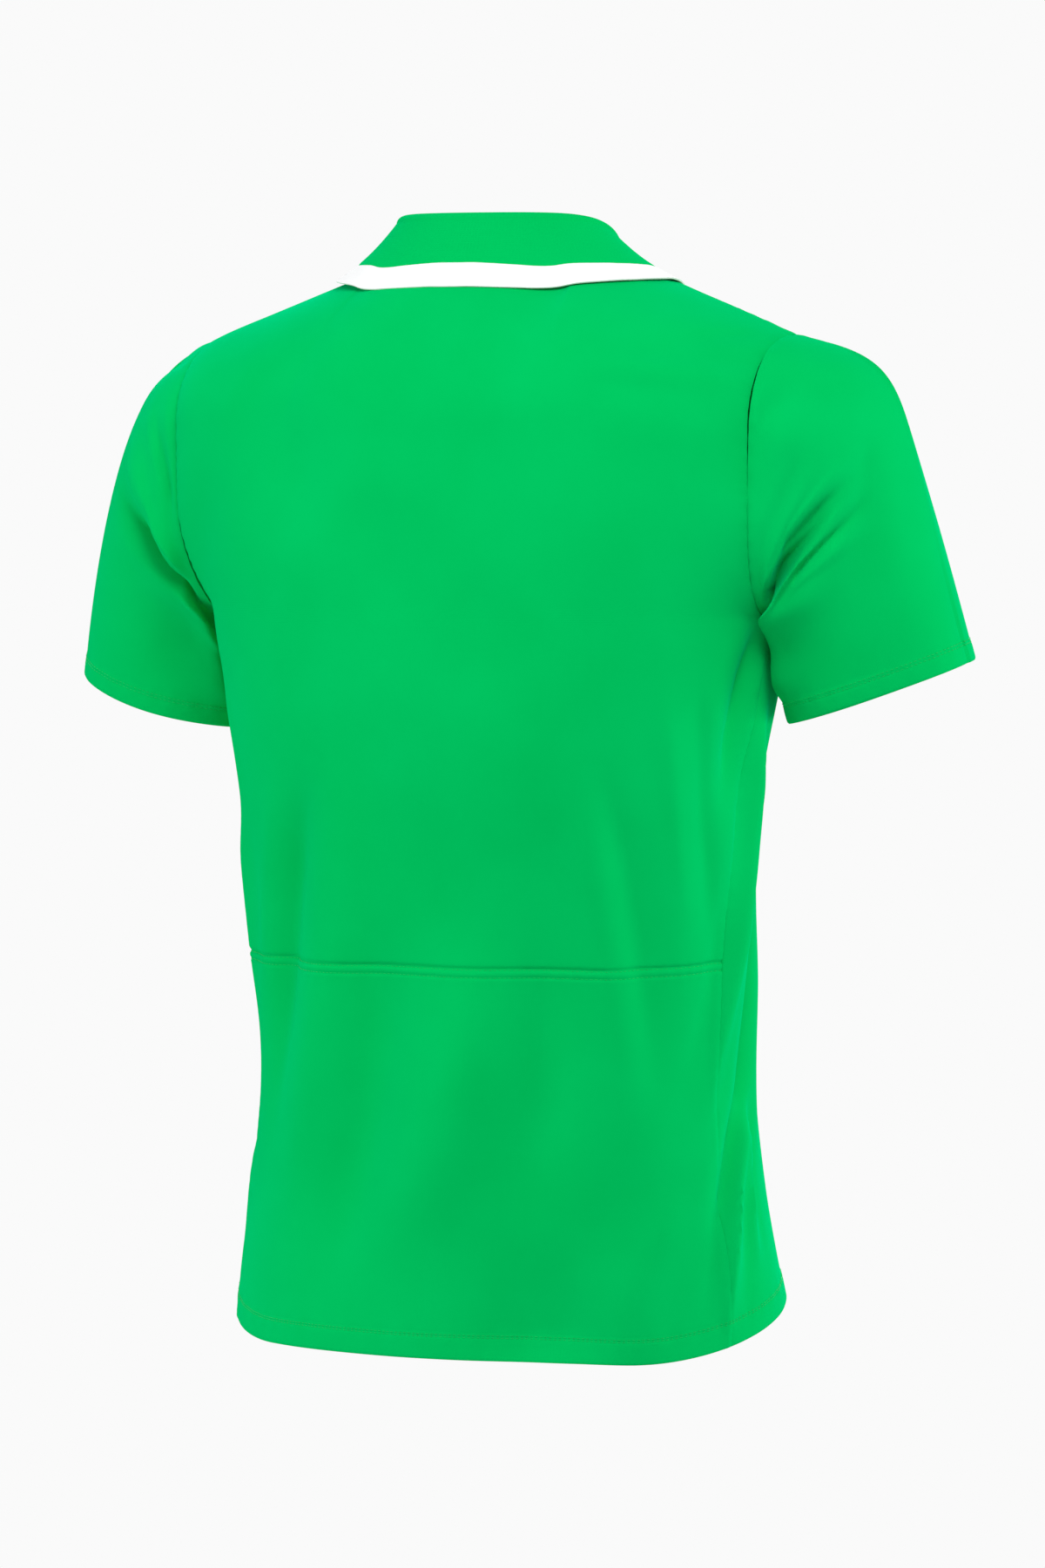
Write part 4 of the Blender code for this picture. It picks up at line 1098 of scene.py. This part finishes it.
def thread_rings(centre, normal, tangent, radius):
    beside = unit(np.cross(normal, tangent))
    normal = np.cross(tangent, beside)
    turn = np.linspace(0, 2 * pi, RING, endpoint=False)
    spread = normal[..., None, :] * np.sin(turn)[:, None] + beside[..., None, :] * np.cos(turn)[:, None]
    return centre[..., None, :] + spread * radius[None, :, None, None]


def thread_mesh(name, runs, material, slot="green_knit"):
    """One object for many stitches, each a closed strand."""
    strands = np.concatenate(runs)
    count, stations = strands.shape[:2]
    base = (np.arange(count) * stations * RING)[:, None]
    last = (stations - 1) * RING
    sides = grid_quads(*np.divmod(np.arange(last), RING), RING)
    ends = np.array(RING_ENDS)
    quads = np.concatenate([sides, ends[:, ::-1], ends + last])
    quads = (base[:, :, None] + quads[None]).reshape(-1, 4)
    dress(quad_mesh(name, strands.reshape(-1, 3), quads), material, slot)


LINE_POINTS = 900
CUFF_LINE_CELLS = 160
CUFF_LINE_STEP = 0.001


def body_line(side, row):
    """A line across a body panel at one row."""
    points, normals, _ = cloth(side, np.linspace(-1, 1, LINE_POINTS), row)
    return points, normals


def cuff_line(name, distance):
    """A line round a sleeve at a distance from the edge of its cuff."""
    rows = [(1.0, distance + d) for d in (CUFF_LINE_STEP, 0.0, -CUFF_LINE_STEP)]
    points, normals, _ = sleeve_cloth(name, CUFF_LINE_CELLS, rows)
    return [np.vstack([part[1], part[1, :1]]) for part in (points, normals)]


def sew_hems(thread):
    hem = [stitches(*body_line(side, line / LOWER_HEIGHT)) for side in (1, -1) for line in HEM_LINES]
    thread_mesh("hem_stitching", hem, thread)
    for name in SLEEVES:
        thread_mesh(name + "_stitching", [stitches(*cuff_line(name, line)) for line in CUFF_LINES], thread)
    rows = [SEAM_ROW - line / LOWER_HEIGHT for line in BACK_SEAM_LINES]
    thread_mesh("back_seam_stitching", [stitches(*body_line(1, row)) for row in rows], thread)


@cache
def placket_surface():
    """The over ply's outer points and normals, from its foot up."""
    grid, normals = front_strip(PLACKET_LENGTH, PLACKET_ROWS, PLACKET_CELLS)
    return grid + normals * (SEAM_GAP + PLACKET_CLOTH), normals


def on_placket(across, up):
    """Points and normals of the placket at places across it and up from its foot."""
    grid, normals = placket_surface()
    column = (np.asarray(across) + PLACKET_HALF) / (2 * PLACKET_HALF) * PLACKET_CELLS
    row = np.asarray(up) / PLACKET_LENGTH * PLACKET_ROWS
    i = np.clip(row.astype(int), 0, PLACKET_ROWS - 1)
    j = np.clip(column.astype(int), 0, PLACKET_CELLS - 1)
    f, g = (row - i)[..., None], (column - j)[..., None]
    results = []
    for a in (grid, normals):
        low = a[i, j] * (1 - g) + a[i, j + 1] * g
        high = a[i + 1, j] * (1 - g) + a[i + 1, j + 1] * g
        results.append(low * (1 - f) + high * f)
    return results


PLACKET_BOX = 0.022
PLACKET_LINE_TOP = 0.004
PLACKET_LINE_POINTS = 200
BUTTON_RADIUS = 0.0058
BUTTON_THICKNESS = 0.0026
BUTTON_GAP = 0.0004
BUTTON_HOLE_PITCH = 0.0013
BUTTON_DEPTHS = (0.018, 0.066, 0.114)
BUTTON_FLOOR = 0.62
BUTTONHOLE_LENGTH = 0.0150
BUTTONHOLE_HALF = 0.0010
BUTTONHOLE_RISE = 0.0010
SATIN_LENGTH = 0.0014
SATIN_PITCH = 0.00042
SATIN_POINTS = 7
SATIN_SHIFT = 0.0004
SATIN_FILL = 0.96
STRAND_OFFSETS = (-0.00042, 0.0, 0.00042)
STRAND_REACH = 1.25
STRAND_POINTS = 9
STRAND_RADIUS = 0.0003


def sew_placket(thread):
    """Topstitching down both edges, across the foot and across the top of the foot's box."""
    side = PLACKET_HALF - PLACKET_EDGE_LINE
    low, high = PLACKET_EDGE_LINE, PLACKET_LENGTH - PLACKET_LINE_TOP
    lines = [((-side, high), (-side, low)), ((-side, low), (side, low)), ((side, low), (side, high))]
    lines.append(((-side, PLACKET_BOX), (side, PLACKET_BOX)))
    runs = []
    for start, end in lines:
        f = np.linspace(0, 1, PLACKET_LINE_POINTS)
        across, up = (start[k] + (end[k] - start[k]) * f for k in range(2))
        points, normals = on_placket(across, up)
        runs.append(stitches(points - normals * STITCH_SINK, normals))
    thread_mesh("placket_stitching", runs, thread)


def stadium(length, half_width, pitch):
    """Points and outward directions round a long hole with round ends, standing upright."""
    straight, arc = length - 2 * half_width, pi * half_width
    half, d = np.divmod(np.arange(0, 2 * (straight + arc), pitch), straight + arc)
    turn = np.maximum(d - straight, 0) / half_width
    out = np.stack([np.cos(turn), np.sin(turn)], axis=-1)
    points = out * half_width
    points[:, 1] += np.minimum(d, straight) - straight / 2
    return np.hstack([points, out]) * (1 - 2 * half)[:, None]


def sew_buttonholes(thread):
    """A satin-stitched upright buttonhole under each button."""
    runs = []
    for depth in BUTTON_DEPTHS:
        middle = PLACKET_LENGTH - depth + BUTTONHOLE_RISE
        for x, y, out_x, out_y in stadium(BUTTONHOLE_LENGTH, BUTTONHOLE_HALF, SATIN_PITCH):
            reach = np.linspace(-0.5, 0.5, SATIN_POINTS) * SATIN_LENGTH + SATIN_SHIFT
            points, normals = on_placket(x + out_x * reach, middle + y + out_y * reach)
            runs.append(stitches(points, normals, SATIN_LENGTH * SATIN_FILL, 0.0))
    thread_mesh("buttonholes", runs, thread)


def sew_buttons(thread):
    """Two pairs of strands over the middle of each button, through its four holes."""
    runs = []
    for depth in BUTTON_DEPTHS:
        grid, normals = front_strip(depth, round(depth / BUTTON_RADIUS), 4)
        point, normal = grid[0, 2], normals[0, 2]
        top = point + normal * (SEAM_GAP + PLACKET_CLOTH + BUTTON_GAP + BUTTON_THICKNESS * BUTTON_FLOOR)
        up = unit(np.cross(normal, (-1.0, 0.0, 0.0)))
        beside = np.cross(up, normal)
        hole = BUTTON_HOLE_PITCH * cos(pi / 4)
        f = np.linspace(-STRAND_REACH, STRAND_REACH, STRAND_POINTS)[:, None] * hole
        facing = np.repeat(normal[None], STRAND_POINTS, axis=0)
        for pair in (-1, 1):
            for strand in STRAND_OFFSETS:
                line = top + beside * (pair * hole + strand) + up * f
                runs.append(stitches(line, facing, 2 * STRAND_REACH * hole, 0.0, STRAND_RADIUS))
    thread_mesh("button_threads", runs, thread, "button")


# ---------------- materials

# A wave texture's bands lie a twentieth of a turn apart at scale 1.
WAVE_TURN = 2 * pi / 20
KNIT_DEPTH = 0.00018
GREEN = (0.0004, 0.490, 0.100)
GREEN_LIGHT = (0.0005, 0.505, 0.106)
GREEN_DEEP = (0.0003, 0.475, 0.094)
SHEEN_TINT = (0.0, 1.0, 0.60)
WHITE = (0.900, 0.910, 0.915)
WHITE_DEEP = tuple(0.97 * x for x in WHITE)
WHITE_SHEEN_TINT = (1.0, 1.0, 1.0)
BUTTON_DEEP = (0.004, 0.330, 0.075)
BUTTON_LIGHT = (0.008, 0.400, 0.100)
FLOOR_SHADES = ((0.90, 0.90, 0.90), (0.93, 0.93, 0.93))
MOTTLE_STOPS = (0.32, 0.68)
MOTTLE_SCALE = {"knit": 9.0, "thread": 120.0, "button": 160.0, "floor": 0.6}


def set_inputs(made, values):
    for name, value in values.items():
        made.inputs[name].default_value = value


def node(tree, kind, values=None, **properties):
    """A shader node with values for its inputs, and with its other properties."""
    made = tree.nodes.new(kind)
    for name, value in properties.items():
        setattr(made, name, value)
    set_inputs(made, values or {})
    return made


def principled(name, values):
    material = bpy.data.materials.new(name)
    material.use_nodes = True
    shader = material.node_tree.nodes["Principled BSDF"]
    set_inputs(shader, values)
    return material, material.node_tree, shader


def mottled(tree, shader, low, high, scale):
    """Colour that drifts between two shades over the piece."""
    place = node(tree, "ShaderNodeTexCoord")
    noise = node(tree, "ShaderNodeTexNoise", {"Scale": scale, "Detail": 3.0, "Roughness": 0.55})
    ramp = node(tree, "ShaderNodeValToRGB")
    for stop, at, colour in zip(ramp.color_ramp.elements, MOTTLE_STOPS, (low, high)):
        stop.position = at
        stop.color = (*colour, 1.0)
    tree.links.new(place.outputs["Object"], noise.inputs["Vector"])
    tree.links.new(noise.outputs["Fac"], ramp.inputs["Fac"])
    tree.links.new(ramp.outputs["Color"], shader.inputs["Base Color"])


def bands(tree, vector, direction, pitch):
    values = {"Scale": WAVE_TURN / pitch, "Distortion": 0.6, "Detail": 1.0}
    wave = node(tree, "ShaderNodeTexWave", values, bands_direction=direction)
    tree.links.new(vector, wave.inputs["Vector"])
    return wave.outputs["Fac"]


def bumped(tree, shader, height, strength):
    bump = node(tree, "ShaderNodeBump", {"Strength": strength, "Distance": KNIT_DEPTH})
    tree.links.new(height, bump.inputs["Height"])
    tree.links.new(bump.outputs["Normal"], shader.inputs["Normal"])


def multiplied(tree, first, second):
    product = node(tree, "ShaderNodeMath", operation="MULTIPLY")
    tree.links.new(first, product.inputs[0])
    tree.links.new(second, product.inputs[1])
    return product.outputs[0]


def knit(name, low, high, wale, course, strength, sheen, tint):
    """Knitted cloth: fine wales and courses in relief, mottled colour and a soft sheen at its edges."""
    values = {"Roughness": 0.62, "Specular IOR Level": 0.0}
    values |= {"Sheen Weight": sheen, "Sheen Roughness": 0.5, "Sheen Tint": (*tint, 1.0)}
    material, tree, shader = principled(name, values)
    mottled(tree, shader, low, high, MOTTLE_SCALE["knit"])
    flat = node(tree, "ShaderNodeUVMap", uv_map="cloth").outputs["UV"]
    wales, courses = (bands(tree, flat, *run) for run in (("X", wale), ("Y", course)))
    bumped(tree, shader, multiplied(tree, wales, courses), strength)
    return material


# Each knit: its two shades, the pitch of its wales and courses in metres, and its bump and sheen.
KNITS = (
    ("name", "low", "high", "wale", "course", "strength", "sheen", "tint"),
    ("green jersey", GREEN_DEEP, GREEN_LIGHT, 0.0008, 0.00065, 0.30, 0.26, SHEEN_TINT),
    ("green rib", GREEN_DEEP, GREEN, 0.0026, 0.0009, 0.65, 0.16, SHEEN_TINT),
    ("white rib", WHITE_DEEP, WHITE, 0.0026, 0.0009, 0.45, 0.10, WHITE_SHEEN_TINT),
)


def make_materials():
    jersey, rib, white = (knit(*row) for row in KNITS[1:])
    thread, tree, shader = principled("green thread", {"Roughness": 0.45, "Specular IOR Level": 0.15})
    mottled(tree, shader, GREEN_DEEP, GREEN_LIGHT, MOTTLE_SCALE["thread"])
    values = {"Roughness": 0.32, "Specular IOR Level": 0.25, "Coat Weight": 0.15, "Coat Roughness": 0.08}
    button, tree, shader = principled("green button", values)
    mottled(tree, shader, BUTTON_DEEP, BUTTON_LIGHT, MOTTLE_SCALE["button"])
    return jersey, rib, white, thread, button


# ---------------- stage, light and camera

VIEW_TURN = radians(27)
TO_CAMERA = np.array([-sin(VIEW_TURN), cos(VIEW_TURN), 0.0])
TO_RIGHT = np.array([-cos(VIEW_TURN), -sin(VIEW_TURN), 0.0])
CAMERA_DISTANCE = 5.0
CAMERA_Z = -0.10
TARGET_Z = -0.346
VIEW_SHIFT = 0.015
SENSOR = 24.0
PIXEL_SIZE = 0.00058
IMAGE_WIDTH = 1200
FLOOR_Z = -1.45
FLOOR_RADIUS = 9.0
FLOOR_SIDES = 64
FLOOR_SOLID = (0.4, 1.0)
FLOOR_GONE = (3.0, 0.0)


def stand(thing, right, near, up, aim_right, aim_z):
    """Puts the camera or a light in its place, facing what it aims at, and gives the distance to that."""
    place = TO_RIGHT * right + TO_CAMERA * near + (0.0, 0.0, up)
    aim = Vector(TO_RIGHT * aim_right + (0.0, 0.0, aim_z)) - Vector(place)
    thing.location = place
    thing.rotation_euler = aim.to_track_quat("-Z", "Y").to_euler()
    return aim.length


def add_camera():
    data = bpy.data.cameras.new("camera")
    data.sensor_fit = "HORIZONTAL"
    data.sensor_width = SENSOR
    camera = add_object("camera", data)
    away = stand(camera, VIEW_SHIFT, CAMERA_DISTANCE, CAMERA_Z, VIEW_SHIFT, TARGET_Z)
    data.lens = SENSOR * away / (PIXEL_SIZE * IMAGE_WIDTH)
    bpy.context.scene.camera = camera


# Softboxes: how far each stands to the image's right, towards the camera and up, what height it faces,
# its side in metres and its power in watts.
LIGHTS = (
    ("name", "right", "near", "up", "aim_z", "size", "power"),
    ("key", 0.45, 1.8, 1.25, -0.08, 1.2, 42.0),
    ("right_fill", 2.2, 0.10, -0.8, -0.50, 1.2, 22.0),
    ("left_fill", -2.0, 0.60, -0.3, -0.40, 1.4, 21.0),
    ("far_fill", 0.4, -2.4, 0.9, -0.30, 1.2, 30.0),
)

# How far away from the camera a direction points, as a cosine, and the studio's brightness there.
NEAR_GREY = (-0.05, 0.34)
BACKDROP_WHITE = (0.70, 0.956)


def add_lights():
    for name, right, near, up, aim_z, size, power in LIGHTS[1:]:
        data = bpy.data.lights.new(name, "AREA")
        data.shape = "SQUARE"
        data.size = size
        data.energy = power
        stand(add_object(name, data), right, near, up, 0.0, aim_z)


def smooth_range(tree, value, starts, ends):
    """Runs smoothly from one result to another; starts and ends each give the value and the result."""
    values = {"From Min": starts[0], "From Max": ends[0], "To Min": starts[1], "To Max": ends[1]}
    shade = node(tree, "ShaderNodeMapRange", values, interpolation_type="SMOOTHSTEP")
    tree.links.new(value, shade.inputs["Value"])
    return shade.outputs["Result"]


def add_world():
    """A studio that is white behind the shirt and dimmer on the other side."""
    world = bpy.data.worlds.new("studio")
    world.use_nodes = True
    tree = world.node_tree
    place = node(tree, "ShaderNodeTexCoord")
    along = node(tree, "ShaderNodeVectorMath", operation="DOT_PRODUCT")
    along.inputs[1].default_value = tuple(-TO_CAMERA)
    tree.links.new(place.outputs["Generated"], along.inputs[0])
    shade = smooth_range(tree, along.outputs["Value"], NEAR_GREY, BACKDROP_WHITE)
    tree.links.new(shade, tree.nodes["Background"].inputs["Color"])
    bpy.context.scene.world = world


def add_floor():
    """A wide pale disc well below the hem, which fades out towards its rim."""
    turn = np.linspace(0, 2 * pi, FLOOR_SIDES, endpoint=False)
    rim = np.stack([FLOOR_RADIUS * np.cos(turn), FLOOR_RADIUS * np.sin(turn), 0 * turn + FLOOR_Z], axis=-1)
    mesh = bpy.data.meshes.new("floor")
    mesh.from_pydata([tuple(p) for p in rim], [], [tuple(range(FLOOR_SIDES))])
    floor = add_object("floor", mesh)
    material, tree, shader = principled("pale floor", {"Roughness": 0.9, "Specular IOR Level": 0.0})
    mottled(tree, shader, *FLOOR_SHADES, MOTTLE_SCALE["floor"])
    place = node(tree, "ShaderNodeTexCoord")
    reach = node(tree, "ShaderNodeVectorMath", operation="LENGTH")
    tree.links.new(place.outputs["Object"], reach.inputs[0])
    fade = smooth_range(tree, reach.outputs["Value"], FLOOR_SOLID, FLOOR_GONE)
    tree.links.new(fade, shader.inputs["Alpha"])
    mesh.materials.append(material)


def main():
    jersey, rib, white, thread, button = make_materials()
    make_back(jersey)
    make_front(jersey)
    for name in SLEEVES:
        make_sleeve(name, jersey)
    make_collar(rib, white)
    make_placket(jersey)
    sew_hems(thread)
    sew_placket(thread)
    sew_buttonholes(thread)
    sew_buttons(thread)
    for name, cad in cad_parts.items():
        if name.startswith("button_"):
            cad.material_slots[0].material = button
    add_floor()
    add_lights()
    add_world()
    add_camera()
    bpy.context.scene.view_settings.view_transform = "Standard"


main()
